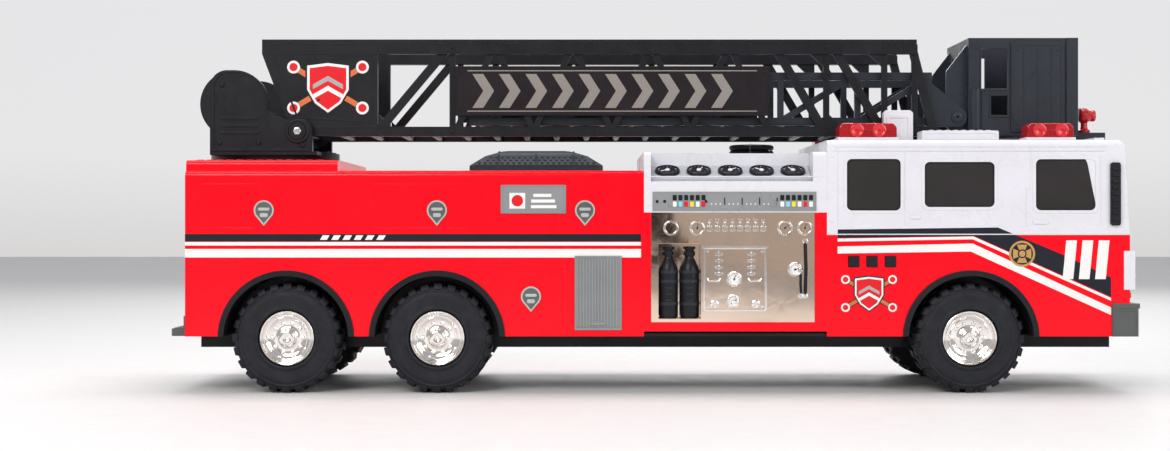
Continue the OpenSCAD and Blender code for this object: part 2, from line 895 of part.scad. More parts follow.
pod_h = 14.4;
rear_pod_x = cab_x + 10.7;
front_pod_x = cab_x + 162.2;
rear_pod_l = 47.4;
front_pod_l = 38.6;
pod_y = ladder_w / 2 + 14;
pod_d = half_w - 9 - pod_y;
post_x = cab_x + 51;
vent_x = cab_x + 79;
vent_l = 62;
vent_h = 8.4;

module light_pods() {
    color("#c8141c") {
        light_box(rear_pod_x, rear_pod_l, pod_y, pod_d, pod_h);
        light_box(front_pod_x, front_pod_l, pod_y, pod_d, pod_h);
    }
}

module roof_leds() {
    color("#f2efe6")
        for (x = [rear_pod_x + rear_pod_l / 2, front_pod_x + front_pod_l / 2])
            both_sides()
                for (s = [-1, 1])
                    translate([x + s * 9, pod_y + pod_d / 2, roof_z]) {
                        cylinder(r = 2.5, h = 4);
                        translate([0, 0, 4]) cylinder(r1 = 2.5, r2 = 1.2, h = 2);
                    }
}

module ladder_cradle() {
    post_t = 8;
    color("#eef0f4")
        both_sides()
            plate_y(ladder_w / 2 + 4, ladder_w / 2 + 4 + post_t)
                translate([post_x, roof_z]) {
                    square([24, 20]);
                    translate([0, 6]) round_rect(24, 19.2, 2);
                }
}

module roof_vents() {
    color("#eef0f4")
        both_sides() {
            plate_y(ladder_w / 2 + 8, half_w - 15)
                translate([vent_x, roof_z]) {
                    square([vent_l, 4]);
                    round_rect(vent_l, vent_h, 1.5);
                }
        }
    color("#eef0f4")
        translate([nose_x - 25, 12 - half_w, roof_z]) cube([8, body_w - 24, 2.4]);
}

module front_bumper() {
    lip_h = 4;
    bumper_h = 26.4;
    color("#565b5b") {
        translate([nose_x, -half_w, body_z]) cube([bumper_l - 1.5, body_w, bumper_h - lip_h]);
        translate([nose_x, -half_w, body_z + bumper_h - lip_h]) cube([bumper_l, body_w, lip_h]);
        both_sides()
            plate_y(half_w, half_w + 1.2)
                translate([nose_x - 14.4, body_z]) square([14.4 + bumper_l - 1.5, bumper_h]);
    }
}

module headlight_bezels() {
    bezel_w = 42;
    bezel_z = body_z + 37.4;
    bezel_h = 31;
    color("#eef0f4")
        both_sides() {
            difference() {
                translate([nose_x, half_w - bezel_w, bezel_z]) cube([4, bezel_w, bezel_h]);
                for (k = [0, 1])
                    translate([nose_x - 1, half_w - 11 - 20 * k, bezel_z + bezel_h / 2])
                        rotate([0, 90, 0]) cylinder(r = 8.5, h = 6);
            }
            plate_y(half_w, half_w + 1)
                translate([nose_x - 5, bezel_z]) square([9, bezel_h]);
        }
}

module headlights() {
    lamp_z = body_z + 37.4 + 15.5;
    color("#e6eaee")
        both_sides()
            for (k = [0, 1])
                translate([nose_x, half_w - 11 - 20 * k, lamp_z])
                    rotate([0, 90, 0]) {
                        cylinder(r = 8.3, h = 3);
                        translate([0, 0, 3]) cylinder(r1 = 8.3, r2 = 5, h = 2);
                    }
}

module front_grille() {
    grille_w = body_w - 96;
    grille_z = body_z + 33;
    bars = 6;
    color("#cfd2d6") {
        translate([nose_x, -grille_w / 2, grille_z]) cube([1.5, grille_w, 42]);
        for (k = [0:bars])
            translate([nose_x + 1.4, -grille_w / 2, grille_z + 39 / bars * k])
                cube([1.6, grille_w, 3]);
    }
}

// ---- turntable and ladder ----

module cheek_outline() {
    front = slew_x + 4;
    back = slew_x - 44;
    top = hinge_z + 50;
    round = 28;
    difference() {
        translate([back, disc_top - 1]) square([front - back, top - disc_top + 1]);
        translate([front - round, top - round]) square([round + 1, round + 1]);
        translate([back - 1, top - 14]) square([15, 15]);
    }
    translate([front - round, top - round]) circle(round);
    translate([back + 14, top - 14]) circle(14);
    polygon([
        [front - 1, disc_top - 1], [hinge_x + ear_r, disc_top - 1],
        [hinge_x + ear_r, hinge_z], [front - 1, hinge_z + ear_r + 4]
    ]);
    translate([hinge_x, hinge_z]) circle(ear_r);
}

module turntable() {
    color("#1d1f23") difference() {
        union() {
            difference() {
                translate([slew_x, 0, disc_z]) cylinder(r = disc_r, h = disc_t);
                translate([slew_x, 0, disc_z - 1]) cylinder(r = disc_r - 3, h = disc_t - 2);
            }
            translate([slew_x, 0, bearing_z - ring_h - slide_gap - 2])
                cylinder(r = spindle_r, h = disc_top - 1 - bearing_z + ring_h + slide_gap + 2);
            both_sides() plate_y(cheek_in, cheek_in + cheek_t) cheek_outline();
            translate([slew_x - 44, -cheek_in - cheek_t, disc_top - 3])
                cube([88, 2 * (cheek_in + cheek_t), 3]);
        }
        translate([hinge_x, 0, hinge_z]) rod_y(hinge_pin_r + seat_gap, -body_w, body_w);
        translate([slew_x, 0, 0]) cylinder(r = screw_r, h = platform_z);
    }
}

module turntable_ring() {
    color("#3a3d42")
        translate([slew_x, 0, bearing_z - slide_gap - ring_h]) difference() {
            cylinder(r = spindle_r + 5, h = ring_h);
            translate([0, 0, -1]) cylinder(r = spindle_r + seat_gap, h = ring_h + 2);
        }
}

module ladder_pin() {
    color("#9a9da1")
        translate([hinge_x, 0, hinge_z]) {
            rod_y(hinge_pin_r, -cheek_in - cheek_t, cheek_in + cheek_t);
            both_sides() rod_y(hinge_pin_r + 3, cheek_in + cheek_t, cheek_in + cheek_t + 2.5);
        }
}

// Rails and tail plate of one ladder side
module rail_outline() {
    translate([0, -rail_v]) square([ladder_l, rail_h]);
    translate([-tail_u, top_v - top_rail_h]) square([top_end_u + tail_u, top_rail_h]);
    polygon([
        [-heel_u, -rail_v], [-heel_u, rail_v], [-tail_u, top_v - top_rail_h], [-tail_u, top_v],
        [base_u, top_v], [base_u, -rail_v]
    ]);
}

// Posts and braces of one ladder side
module web_outline() {
    low = 0;
    high = top_v - rail_v;
    bays = 4;
    bay = (sign_end_u + 45 - sign_u) / (bays + 0.7);
    brace([base_u, low], [sign_u - 4, high], brace_w);
    for (u = [sign_u - 5, sign_end_u + 45, sign_end_u + 93, top_end_u - 4])
        translate([u, low]) square([5, high]);
    for (k = [0:bays - 1]) {
        brace([sign_u + bay * k, low], [sign_u + bay * (k + 0.5), high], brace_w * 0.7);
        brace([sign_u + bay * (k + 0.5), high], [sign_u + bay * (k + 1), low], brace_w * 0.7);
    }
    brace([sign_end_u + 4, high], [sign_end_u + 46, low], brace_w);
    brace([sign_end_u + 52, high], [sign_end_u + 94, low], brace_w);
    brace([top_end_u - 4, high], [ladder_l - 4, low], brace_w);
}

module ladder_sides() {
    color("#212327")
        on_ladder()
            both_sides()
                difference() {
                    union() {
                        plate_y(rail_in, rail_in + rail_t) rail_outline();
                        plate_y(web_in, web_in + web_t) web_outline();
                        rod_y(lug_r, rail_in, cheek_in - slide_gap);
                    }
                    rod_y(hinge_pin_r + run_gap, 0, ladder_w);
                    for (k = [0:floor((top_end_u - base_u) / rung_pitch)])
                        translate([base_u + rung_pitch * k, ladder_w / 2 - 0.5, top_v - 1])
                            cube([1.6, 1, 2]);
                }
}

module ladder_rungs() {
    rung_r = 2.8;
    first = base_u / 2;
    color("#212327")
        on_ladder()
            for (k = [0:floor((ladder_l - 12 - first) / rung_pitch)])
                translate([first + rung_pitch * k, 0, -0.6]) rod_y(rung_r, -rail_in, rail_in);
}

module sign_plates() {
    color("#2d2a30")
        on_ladder()
            both_sides()
                plate_y(web_in + web_t, ladder_w / 2)
                    translate([sign_u, sign_v - rail_v]) square([sign_l, sign_h]);
}

module fly_outline() {
    low = fly_v;
    high = fly_v + fly_h;
    span = fly_end_u - fly_u;
    bays = 6;
    bay = span / bays;
    translate([fly_u, low]) square([span, fly_rail]);
    translate([fly_u, high - fly_rail]) square([span, fly_rail]);
    for (k = [0:bays])
        translate([min(fly_u + bay * k, fly_end_u - 5), low]) square([5, fly_h]);
    for (k = [0:bays - 1])
        brace([fly_u + bay * k + 2, low + 3], [fly_u + bay * (k + 1), high - 3], 5);
}

module arm_outline() {
    pin = [bucket_pin_u, bucket_pin_z - hinge_z];
    translate(pin) circle(arm_r);
    polygon([
        [fly_end_u - 6, fly_v], [fly_end_u, pin[1] - arm_r], [pin[0], pin[1] - arm_r],
        [pin[0] + arm_r * 0.6, pin[1] + arm_r * 0.8], [fly_end_u, fly_v + fly_h * 0.8],
        [fly_end_u - 6, fly_v + fly_h * 0.8]
    ]);
}

module fly_sides() {
    color("#2a2d32")
        on_ladder()
            both_sides()
                difference() {
                    union() {
                        plate_y(fly_in, fly_out) fly_outline();
                        plate_y(fly_in, fly_in + arm_t) arm_outline();
                    }
                    translate([bucket_pin_u, 0, bucket_pin_z - hinge_z])
                        rod_y(bucket_pin_r + seat_gap, 0, ladder_w);
                }
}

module fly_rungs() {
    first = fly_u + 8;
    last = fly_end_u - 14;
    count = floor((last - first) / rung_pitch);
    color("#2a2d32")
        on_ladder()
            for (k = [0:count])
                translate([first + rung_pitch * k, 0, fly_v + fly_rail / 2]) rod_y(2.4, -fly_in, fly_in);
}

// ---- bucket ----

module bucket_pin() {
    color("#9a9da1")
        translate([bucket_pin_x, 0, bucket_pin_z]) {
            rod_y(bucket_pin_r, -fly_in - arm_t, fly_in + arm_t);
            both_sides() rod_y(bucket_pin_r + 2, fly_in + arm_t, fly_in + arm_t + 1);
        }
}

module bucket_plate() {
    back = bucket_pin_x - plate_back;
    chamfer = [20.7, 27];
    polygon([
        [back, bucket_z + 8], [back, bucket_z + bucket_h - chamfer[1]],
        [back + chamfer[0], bucket_z + bucket_h], [tub_x + tub_wall, bucket_z + bucket_h],
        [tub_x + tub_wall, bucket_z], [bucket_pin_x, bucket_z]
    ]);
}

module bucket() {
    top = bucket_z + bucket_h;
    win_x = tub_x + 10.6;
    color("#2c3038") difference() {
        union() {
            difference() {
                translate([tub_x, -tub_half, bucket_z]) cube([tub_l, 2 * tub_half, bucket_h]);
                translate([tub_x + tub_wall, tub_wall - tub_half, bucket_z + 3])
                    cube([tub_l - 2 * tub_wall, 2 * (tub_half - tub_wall), bucket_h]);
                plate_y(-body_w, body_w) {
                    translate([win_x, top - 42]) square([22, 33]);
                    translate([win_x + 8, top - 64]) square([14, 16]);
                }
            }
            both_sides() {
                plate_y(plate_out - plate_t, plate_out) bucket_plate();
                plate_y(tub_half, tub_half + 1.5)
                    translate([tub_x + 35, bucket_z + 3]) round_rect(44, bucket_h - 6, 2);
                translate([tub_x + tub_l - 5, tub_half - post_w + 1.5, bucket_z])
                    cube([5 + post_out, post_w, bucket_h]);
                translate([tub_x + 6, tub_half - 3, bucket_z]) cylinder(r = 6, h = bucket_h * 0.48);
            }
            translate([tub_x + tub_l - 1, -14, bucket_z - 2]) cube([deck_plate_l, 28, deck_plate_t]);
        }
        translate([bucket_pin_x, 0, bucket_pin_z]) rod_y(bucket_pin_r + run_gap, -plate_out - 1, plate_out + 1);
        translate([nozzle_x, 0, 0]) cylinder(r = spigot_r + run_gap, h = bucket_z * 2);
        both_sides()
            for (z = [bucket_z + 22, bucket_z + 32])
                translate([tub_x + tub_l + post_out - 2, tub_half - post_w / 2, z])
                    cube([8, 4, 4], center = true);
    }
}

module nozzle() {
    foot_z = bucket_z - 2 + deck_plate_t + slide_gap;
    color("#d01520") translate([nozzle_x, 0, 0]) {
        translate([0, 0, bucket_z - 2]) cylinder(r = spigot_r, h = nozzle_z - bucket_z + 2);
        translate([0, 0, foot_z]) cylinder(r = 5, h = 3);
        translate([-4.5, 0, nozzle_z]) rotate([0, 90, 0]) cylinder(r = nozzle_r, h = 5);
        translate([0, 0, nozzle_z]) rotate([0, 90, 0]) cylinder(r1 = nozzle_r, r2 = nozzle_r - 1.6, h = 9);
    }
}

chassis();
rear_body();
pump_body();
pump_house();
cab_lower();
cab_upper();
arch_liners();
side_windows();
windscreen();
pump_panels();
gauge_panels();
gauges();
control_strips();
air_cylinders();
roller_shutters();
first_aid_plates();
latch_badges();
hose_packs();
hose_coil();
light_pods();
roof_leds();
ladder_cradle();
roof_vents();
mirrors();
front_bumper();
headlight_bezels();
headlights();
front_grille();
rear_step();
tail_lights();
battery_cover();
batteries();
speaker();
circuit_board();
button_board();
screws();
axle(front_axle_x);  // front_axle
axle(middle_axle_x);  // middle_axle
axle(rear_axle_x);  // rear_axle
tyre_pair(front_axle_x);  // front_tyres
tyre_pair(middle_axle_x);  // middle_tyres
tyre_pair(rear_axle_x);  // rear_tyres
hub_pair(front_axle_x);  // front_hubs
hub_pair(middle_axle_x);  // middle_hubs
hub_pair(rear_axle_x);  // rear_hubs
sound_button(0);  // button_rear
sound_button(1);  // button_middle
sound_button(2);  // button_front
power_switch();
turntable();
turntable_ring();
ladder_pin();
ladder_sides();
ladder_rungs();
sign_plates();
fly_sides();
fly_rungs();
bucket_pin();
bucket();
nozzle();
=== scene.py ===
"""Looks of the toy fire engine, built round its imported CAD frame. Lengths below are in millimetres."""

import math

import bmesh
import bpy
from mathutils import Matrix, Vector


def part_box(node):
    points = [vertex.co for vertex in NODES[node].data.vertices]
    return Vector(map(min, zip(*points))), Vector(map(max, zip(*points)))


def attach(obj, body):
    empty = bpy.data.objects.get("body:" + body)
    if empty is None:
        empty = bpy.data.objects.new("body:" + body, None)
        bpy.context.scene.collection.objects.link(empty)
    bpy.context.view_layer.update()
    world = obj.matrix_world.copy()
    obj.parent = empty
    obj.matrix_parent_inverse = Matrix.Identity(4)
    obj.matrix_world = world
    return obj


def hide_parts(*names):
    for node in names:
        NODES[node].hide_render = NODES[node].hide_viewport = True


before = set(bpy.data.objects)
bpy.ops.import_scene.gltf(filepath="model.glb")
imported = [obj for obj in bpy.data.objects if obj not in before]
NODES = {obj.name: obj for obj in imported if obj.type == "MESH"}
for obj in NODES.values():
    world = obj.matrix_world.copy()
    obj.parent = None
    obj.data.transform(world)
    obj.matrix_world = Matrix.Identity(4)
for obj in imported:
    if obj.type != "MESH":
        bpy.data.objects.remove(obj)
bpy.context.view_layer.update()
MM = 0.001


def span(node):
    """Lowest and highest corner of a CAD node, in mm."""
    low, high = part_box(node)
    return low / MM, high / MM


# Stations read from the frame
REAR, PUMP = span("rear_body")[0].x, span("rear_body")[1].x
HALF = span("rear_body")[1].y
CAB, NOSE = span("cab_lower")[0].x, span("cab_lower")[1].x
BODY_Z = span("rear_body")[0].z
WAIST = span("cab_lower")[1].z
ROOF = span("cab_upper")[1].z
PUMP_TOP = span("pump_house")[1].z
AXLES = {n: (sum(span(n + "_axle"), Vector()) / 2).x for n in ("front", "middle", "rear")}
AXLE_Z = (sum(span("front_axle"), Vector()) / 2).z
LAD = span("ladder_sides")
HINGE = sum(span("ladder_pin"), Vector()) / 2
BUCKET = span("bucket")
NOZZLE = span("nozzle")


# ---- geometry helpers: shapes are added to a bmesh, in mm ----


def prism(bm, points, y0, y1):
    """A closed plate with its outline in x and z, from y0 to y1."""
    near = [bm.verts.new((x, y0, z)) for x, z in points]
    far = [bm.verts.new((x, y1, z)) for x, z in points]
    bm.faces.new(near)
    bm.faces.new(far[::-1])
    for i in range(len(points)):
        j = (i + 1) % len(points)
        bm.faces.new((near[i], far[i], far[j], near[j]))


def block(bm, x0, x1, y0, y1, z0, z1):
    prism(bm, [(x0, z0), (x1, z0), (x1, z1), (x0, z1)], y0, y1)


def frame_plate(bm, outer, inner, y0, y1):
    """A flat frame between two outlines with as many points."""
    rings = [[bm.verts.new((x, y, z)) for x, z in pts] for y in (y0, y1) for pts in (outer, inner)]
    n = len(outer)
    for a, b in ((0, 1), (1, 3), (3, 2), (2, 0)):
        for i in range(n):
            j = (i + 1) % n
            bm.faces.new((rings[a][i], rings[a][j], rings[b][j], rings[b][i]))


def near_side(out, sunk, y=None):
    """From how far out of the near side to how far inside it a plate reaches."""
    y = HALF if y is None else y
    return -y - out, -y + sunk


def rounded(x0, x1, z0, z1, r, steps=5):
    """The outline of a rectangle with round corners."""
    points = []
    for cx, cz, start in ((x1 - r, z1 - r, 0), (x0 + r, z1 - r, 90), (x0 + r, z0 + r, 180),
                          (x1 - r, z0 + r, 270)):
        for k in range(steps + 1):
            a = math.radians(start + 90 * k / steps)
            points.append((cx + r * math.cos(a), cz + r * math.sin(a)))
    return points


def border(bm, box, r, inset, inner_r, y0, y1):
    """A flat frame between two rectangles with round corners."""
    x0, x1, z0, z1 = box
    inner = rounded(x0 + inset, x1 - inset, z0 + inset, z1 - inset, inner_r)
    frame_plate(bm, rounded(x0, x1, z0, z1, r), inner, y0, y1)


def circle(cx, cz, r, steps=32):
    return [(cx + r * math.cos(math.tau * k / steps), cz + r * math.sin(math.tau * k / steps))
            for k in range(steps)]


def turn_to(axis):
    """A rotation that takes +Z to the axis."""
    return Vector((0, 0, 1)).rotation_difference(Vector(axis)).to_matrix()


def lathe(bm, profile, centre, axis=(0, -1, 0), steps=48, loop=False):
    """A turned shape: the profile is (radius, height along the axis)."""
    spin, centre = turn_to(axis), Vector(centre)
    rings = []
    for r, h in profile:
        if r < 1e-6:
            rings.append([bm.verts.new(centre + spin @ Vector((0, 0, h)))])
        else:
            rings.append([
                bm.verts.new(centre + spin @ Vector((r * math.cos(math.tau * k / steps),
                                                     r * math.sin(math.tau * k / steps), h)))
                for k in range(steps)
            ])
    pairs = list(zip(rings, rings[1:] + rings[:1])) if loop else list(zip(rings, rings[1:]))
    for a, b in pairs:
        for i in range(steps):
            j = (i + 1) % steps
            if len(a) == 1 and len(b) == 1:
                break
            if len(a) == 1:
                bm.faces.new((a[0], b[i], b[j]))
            elif len(b) == 1:
                bm.faces.new((a[i], b[0], a[j]))
            else:
                bm.faces.new((a[i], b[i], b[j], a[j]))


def disc(bm, centre, r, h, axis=(0, -1, 0), steps=32, chamfer=0.0):
    """A short round boss with a chamfered edge."""
    c = min(chamfer, h * 0.45, r * 0.45)
    profile = [(0, 0), (r, 0), (r, h - c), (r - c, h), (0, h)] if c else [(0, 0), (r, 0), (r, h), (0, h)]
    lathe(bm, profile, centre, axis, steps)


def tube(bm, path, r, steps=12, closed=False):
    """A round bar along a path, capped at its ends."""
    path = [Vector(p) for p in path]
    n = len(path)
    up = Vector((0, 0, 1))
    rings = []
    for i, p in enumerate(path):
        a = path[i - 1] if i or closed else p
        b = path[(i + 1) % n] if i + 1 < n or closed else p
        along = (b - a).normalized()
        side = along.cross(up)
        if side.length < 1e-3:
            side = along.cross(Vector((1, 0, 0)))
        side.normalize()
        up = side.cross(along).normalized()
        rings.append([
            bm.verts.new(p + (side * math.cos(math.tau * k / steps)
                              + up * math.sin(math.tau * k / steps)) * r)
            for k in range(steps)
        ])
    for i in range(n if closed else n - 1):
        a, b = rings[i], rings[(i + 1) % n]
        for k in range(steps):
            j = (k + 1) % steps
            bm.faces.new((a[k], a[j], b[j], b[k]))
    if not closed:
        bm.faces.new(rings[0])
        bm.faces.new(rings[-1][::-1])


def stamp(bm, part, matrix):
    """Adds another bmesh, moved by the matrix."""
    scratch = bpy.data.meshes.new("scratch")
    part.to_mesh(scratch)
    scratch.transform(matrix)
    bm.from_mesh(scratch)
    bpy.data.meshes.remove(scratch)


def both_sides(bm):
    """Adds the mirror image across y = 0."""
    copy = bmesh.ops.duplicate(bm, geom=bm.verts[:] + bm.edges[:] + bm.faces[:])["geom"]
    for v in copy:
        if isinstance(v, bmesh.types.BMVert):
            v.co.y = -v.co.y


def piece(name, bm, material, body="truck", slot=None, bevel=0.0, segments=2, angle=35, replaces=(),
          mirror=False):
    """Makes an object of the bmesh, bevelled and shaded smooth, that rides on a body.

    The slot argument is not used."""
    if mirror:
        both_sides(bm)
    bmesh.ops.recalc_face_normals(bm, faces=bm.faces[:])
    bmesh.ops.scale(bm, vec=(MM, MM, MM), verts=bm.verts[:])
    mesh = bpy.data.meshes.new(name)
    bm.to_mesh(mesh)
    bm.free()
    mesh.materials.append(material)
    for face in mesh.polygons:
        face.use_smooth = True
    mesh.set_sharp_from_angle(angle=math.radians(angle))
    obj = bpy.data.objects.new(name, mesh)
    bpy.context.scene.collection.objects.link(obj)
    if bevel:
        mod = obj.modifiers.new("bevel", "BEVEL")
        mod.width, mod.segments = bevel * MM, segments
        mod.limit_method, mod.angle_limit = "ANGLE", math.radians(angle)
        mod.harden_normals = True
    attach(obj, body)
    if replaces:
        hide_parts(*replaces)
    return obj


# ---- materials ----


class Shader:
    """A node material with a few shorthands."""

    def __init__(self, name):
        self.material = bpy.data.materials.new(name)
        self.material.use_nodes = True
        self.tree = self.material.node_tree
        self.bsdf = self.tree.nodes["Principled BSDF"]
        self.coord = self.tree.nodes.new("ShaderNodeTexCoord").outputs["Object"]

    def add(self, kind, **settings):
        node = self.tree.nodes.new("ShaderNode" + kind)
        for key, value in settings.items():
            setattr(node, key, value)
        return node

    def link(self, a, b):
        self.tree.links.new(a, b)

    def noise(self, scale, detail=2.0, rough=0.5, stretch=None, distortion=0.0):
        node = self.add("TexNoise")
        node.inputs["Scale"].default_value = scale
        node.inputs["Detail"].default_value = detail
        node.inputs["Roughness"].default_value = rough
        node.inputs["Distortion"].default_value = distortion
        source = self.coord
        if stretch:
            mapping = self.add("Mapping")
            mapping.inputs["Scale"].default_value = stretch
            self.link(self.coord, mapping.inputs["Vector"])
            source = mapping.outputs["Vector"]
        self.link(source, node.inputs["Vector"])
        return node.outputs["Fac"]

    def remap(self, value, a, b, c, d):
        node = self.add("MapRange")
        for key, number in zip(("From Min", "From Max", "To Min", "To Max"), (a, b, c, d)):
            node.inputs[key].default_value = number
        self.link(value, node.inputs["Value"])
        return node.outputs["Result"]

    def math(self, operation, a, b):
        node = self.add("Math", operation=operation)
        for socket, value in zip(node.inputs, (a, b)):
            if isinstance(value, (int, float)):
                socket.default_value = value
            else:
                self.link(value, socket)
        return node.outputs[0]

    def mix(self, factor, a, b):
        node = self.add("Mix", data_type="RGBA")
        self.link(factor, node.inputs[0])
        for socket, value in zip((node.inputs[6], node.inputs[7]), (a, b)):
            if isinstance(value, (tuple, list)):
                socket.default_value = (*value[:3], 1)
            else:
                self.link(value, socket)
        return node.outputs[2]

    def bump(self, height, strength, distance, normal=None):
        node = self.add("Bump")
        node.inputs["Strength"].default_value = strength
        node.inputs["Distance"].default_value = distance * MM
        self.link(height, node.inputs["Height"])
        if normal is not None:
            self.link(normal, node.inputs["Normal"])
        return node.outputs["Normal"]

    def edge(self, radius):
        """A rounded normal, and a mask of the edges that it rounds."""
        bevel = self.add("Bevel", samples=4)
        bevel.inputs["Radius"].default_value = radius * MM
        dot = self.add("VectorMath", operation="DOT_PRODUCT")
        self.link(bevel.outputs["Normal"], dot.inputs[0])
        self.link(self.add("NewGeometry").outputs["Normal"], dot.inputs[1])
        return bevel.outputs["Normal"], self.remap(dot.outputs["Value"], 0.995, 0.8, 0.0, 1.0)


def tint(color, k):
    return tuple(min(1.0, c * k) for c in color)


def plastic(name, base, rough=0.25, grain=1100, bump=0.12, vary=0.07, smudge=0.3, edge_light=0.25, radius=0.5,
            coat=0.0, subsurface=0.0, transmission=0.0, specular=0.5, flow=True, pale=None):
    """Moulded plastic: flow marks in the colour, smudged gloss, fine grain, and edges lightened toward the
    pale colour as a painted highlight, broken up by noise.
    """
    s = Shader(name)
    normal, edges = s.edge(radius)
    flow_marks = s.noise(14, 3, 0.55, (1, 1, 2.2) if flow else None, 0.6)
    color = s.mix(s.remap(flow_marks, 0.35, 0.7, 0.0, 1.0), tint(base, 1 - vary), tint(base, 1 + vary))
    # painted highlight: the edge mask, broken up by noise and scaled by edge_light, mixes the colour toward
    # the pale tint
    painted_edge_highlight = s.math("MULTIPLY", s.math("MULTIPLY", edges, s.remap(s.noise(220, 4, 0.7), 0.4, 0.65, 0.2,
                                                                1.0)), edge_light)
    pale = pale or tuple(c + (1 - c) * 0.35 for c in base)
    s.link(s.mix(painted_edge_highlight, color, pale), s.bsdf.inputs["Base Color"])
    smears = s.remap(s.noise(38, 5, 0.65, None, 1.2), 0.3, 0.75, rough * (1 - smudge), rough * (1 + smudge))
    hairlines = s.remap(s.noise(60, 2, 0.5, (30, 1.5, 1.5)), 0.66, 0.72, 0.0, rough * 0.5)
    s.link(s.math("ADD", smears, hairlines), s.bsdf.inputs["Roughness"])
    grainy = s.bump(s.noise(grain, 2, 0.6), bump, 0.12, normal)
    sink = s.bump(s.noise(26, 2, 0.4), 0.08, 0.5, grainy)
    s.link(sink, s.bsdf.inputs["Normal"])
    s.bsdf.inputs["Coat Weight"].default_value = coat
    s.bsdf.inputs["Coat Roughness"].default_value = 0.08
    s.bsdf.inputs["Specular IOR Level"].default_value = specular
    if subsurface:
        s.bsdf.inputs["Subsurface Weight"].default_value = subsurface
        s.bsdf.inputs["Subsurface Radius"].default_value = (0.004, 0.003, 0.0025)
        s.bsdf.inputs["Subsurface Scale"].default_value = 0.6
    if transmission:
        s.bsdf.inputs["Transmission Weight"].default_value = transmission
    return s.material


def chrome(name, base, rough=0.07, wave=0.25, radius=0.5, swell=0.0):
    """Vacuum plating on plastic: a mirror with faint waves, haze and tiny pits."""
    s = Shader(name)
    normal, edges = s.edge(radius)
    haze = s.noise(30, 5, 0.65, None, 1.0)
    s.link(s.mix(s.remap(haze, 0.35, 0.7, 0.0, 1.0), tint(base, 0.94), base), s.bsdf.inputs["Base Color"])
    pits = s.remap(s.noise(1500, 2, 0.6), 0.68, 0.74, 0.0, 0.25)
    s.link(s.math("ADD", s.remap(haze, 0.3, 0.75, rough * 0.7, rough * 1.8), pits),
           s.bsdf.inputs["Roughness"])
    waves = s.bump(s.noise(55, 2, 0.4, None, 0.8), wave, 0.35, normal)
    if swell:
        waves = s.bump(s.noise(11, 1, 0.3, None, 0.4), swell, 1.1, waves)
    s.link(waves, s.bsdf.inputs["Normal"])
    s.bsdf.inputs["Metallic"].default_value = 1.0
    return s.material


def print_ink(name, base, rough=0.38):
    """A printed label: a thin satin film with print speckle."""
    s = Shader(name)
    speckle = s.remap(s.noise(2400, 2, 0.7), 0.35, 0.65, 0.0, 1.0)
    cloud = s.remap(s.noise(45, 3, 0.6), 0.3, 0.7, 0.0, 1.0)
    mixed = s.mix(speckle, tint(base, 0.9), tint(base, 1.06))
    s.link(s.mix(s.math("MULTIPLY", cloud, 0.5), mixed, tint(base, 0.93)), s.bsdf.inputs["Base Color"])
    s.link(s.remap(s.noise(60, 4, 0.6), 0.3, 0.7, rough * 0.8, rough * 1.2), s.bsdf.inputs["Roughness"])
    s.link(s.bump(s.noise(1300, 2, 0.6), 0.12, 0.05), s.bsdf.inputs["Normal"])
    s.bsdf.inputs["Specular IOR Level"].default_value = 0.25
    return s.material


def tyre_material(name):
    """Soft black plastic: matt, with a dusty tread, fine pores and a painted highlight on its edges."""
    s = Shader(name)
    normal, edges = s.edge(0.6)
    dust = s.remap(s.noise(70, 5, 0.7, None, 0.8), 0.42, 0.75, 0.0, 0.55)
    color = s.mix(dust, (0.0115, 0.0125, 0.0165), (0.026, 0.028, 0.035))
    # painted highlight: the rounded edges are mixed toward a lighter grey
    s.link(s.mix(s.math("MULTIPLY", edges, 0.4), color, (0.045, 0.048, 0.057)), s.bsdf.inputs["Base Color"])
    s.bsdf.inputs["Specular IOR Level"].default_value = 0.25
    s.link(s.remap(s.noise(120, 4, 0.6), 0.3, 0.7, 0.5, 0.72), s.bsdf.inputs["Roughness"])
    pores = s.bump(s.noise(1700, 3, 0.7), 0.35, 0.15, normal)
    s.link(s.bump(s.noise(150, 3, 0.6), 0.15, 0.3, pores), s.bsdf.inputs["Normal"])
    return s.material


def brushed(name, base):
    """Drawn steel with fine lines along its length."""
    s = Shader(name)
    normal, edges = s.edge(0.3)
    lines = s.noise(900, 3, 0.6, (1, 0.05, 1))
    s.link(s.mix(s.remap(lines, 0.3, 0.7, 0.0, 1.0), tint(base, 0.82), base), s.bsdf.inputs["Base Color"])
    s.link(s.remap(lines, 0.3, 0.7, 0.18, 0.36), s.bsdf.inputs["Roughness"])
    s.link(s.bump(lines, 0.2, 0.05, normal), s.bsdf.inputs["Normal"])
    s.bsdf.inputs["Metallic"].default_value = 1.0
    return s.material


# each plastic's pale colour is the tint of its painted edge highlight
RED = plastic("red_plastic", (0.90, 0.0, 0.010), rough=0.18, vary=0.03, bump=0.05, specular=0.24,
              pale=(0.95, 0.05, 0.07))
WHITE = plastic("white_plastic", (0.70, 0.70, 0.745), rough=0.3, coat=0.1, vary=0.025, bump=0.08,
                pale=(0.95, 0.95, 0.97))
BLACK = plastic("black_plastic", (0.011, 0.012, 0.0155), rough=0.36, bump=0.22, grain=1400, vary=0.12,
                specular=0.22, pale=(0.06, 0.064, 0.073))
SLATE = plastic("slate_plastic", (0.022, 0.026, 0.036), rough=0.34, bump=0.2, grain=1300, vary=0.1,
                specular=0.26, pale=(0.09, 0.10, 0.12))
GREY = plastic("grey_plastic", (0.25, 0.265, 0.27), rough=0.34, vary=0.05, pale=(0.5, 0.52, 0.53))
PANEL_GREY = plastic("panel_grey", (0.47, 0.48, 0.53), rough=0.3, vary=0.04)
BUMPER = plastic("bumper_grey", (0.085, 0.093, 0.093), rough=0.4, bump=0.25, vary=0.08,
                 pale=(0.2, 0.21, 0.21))
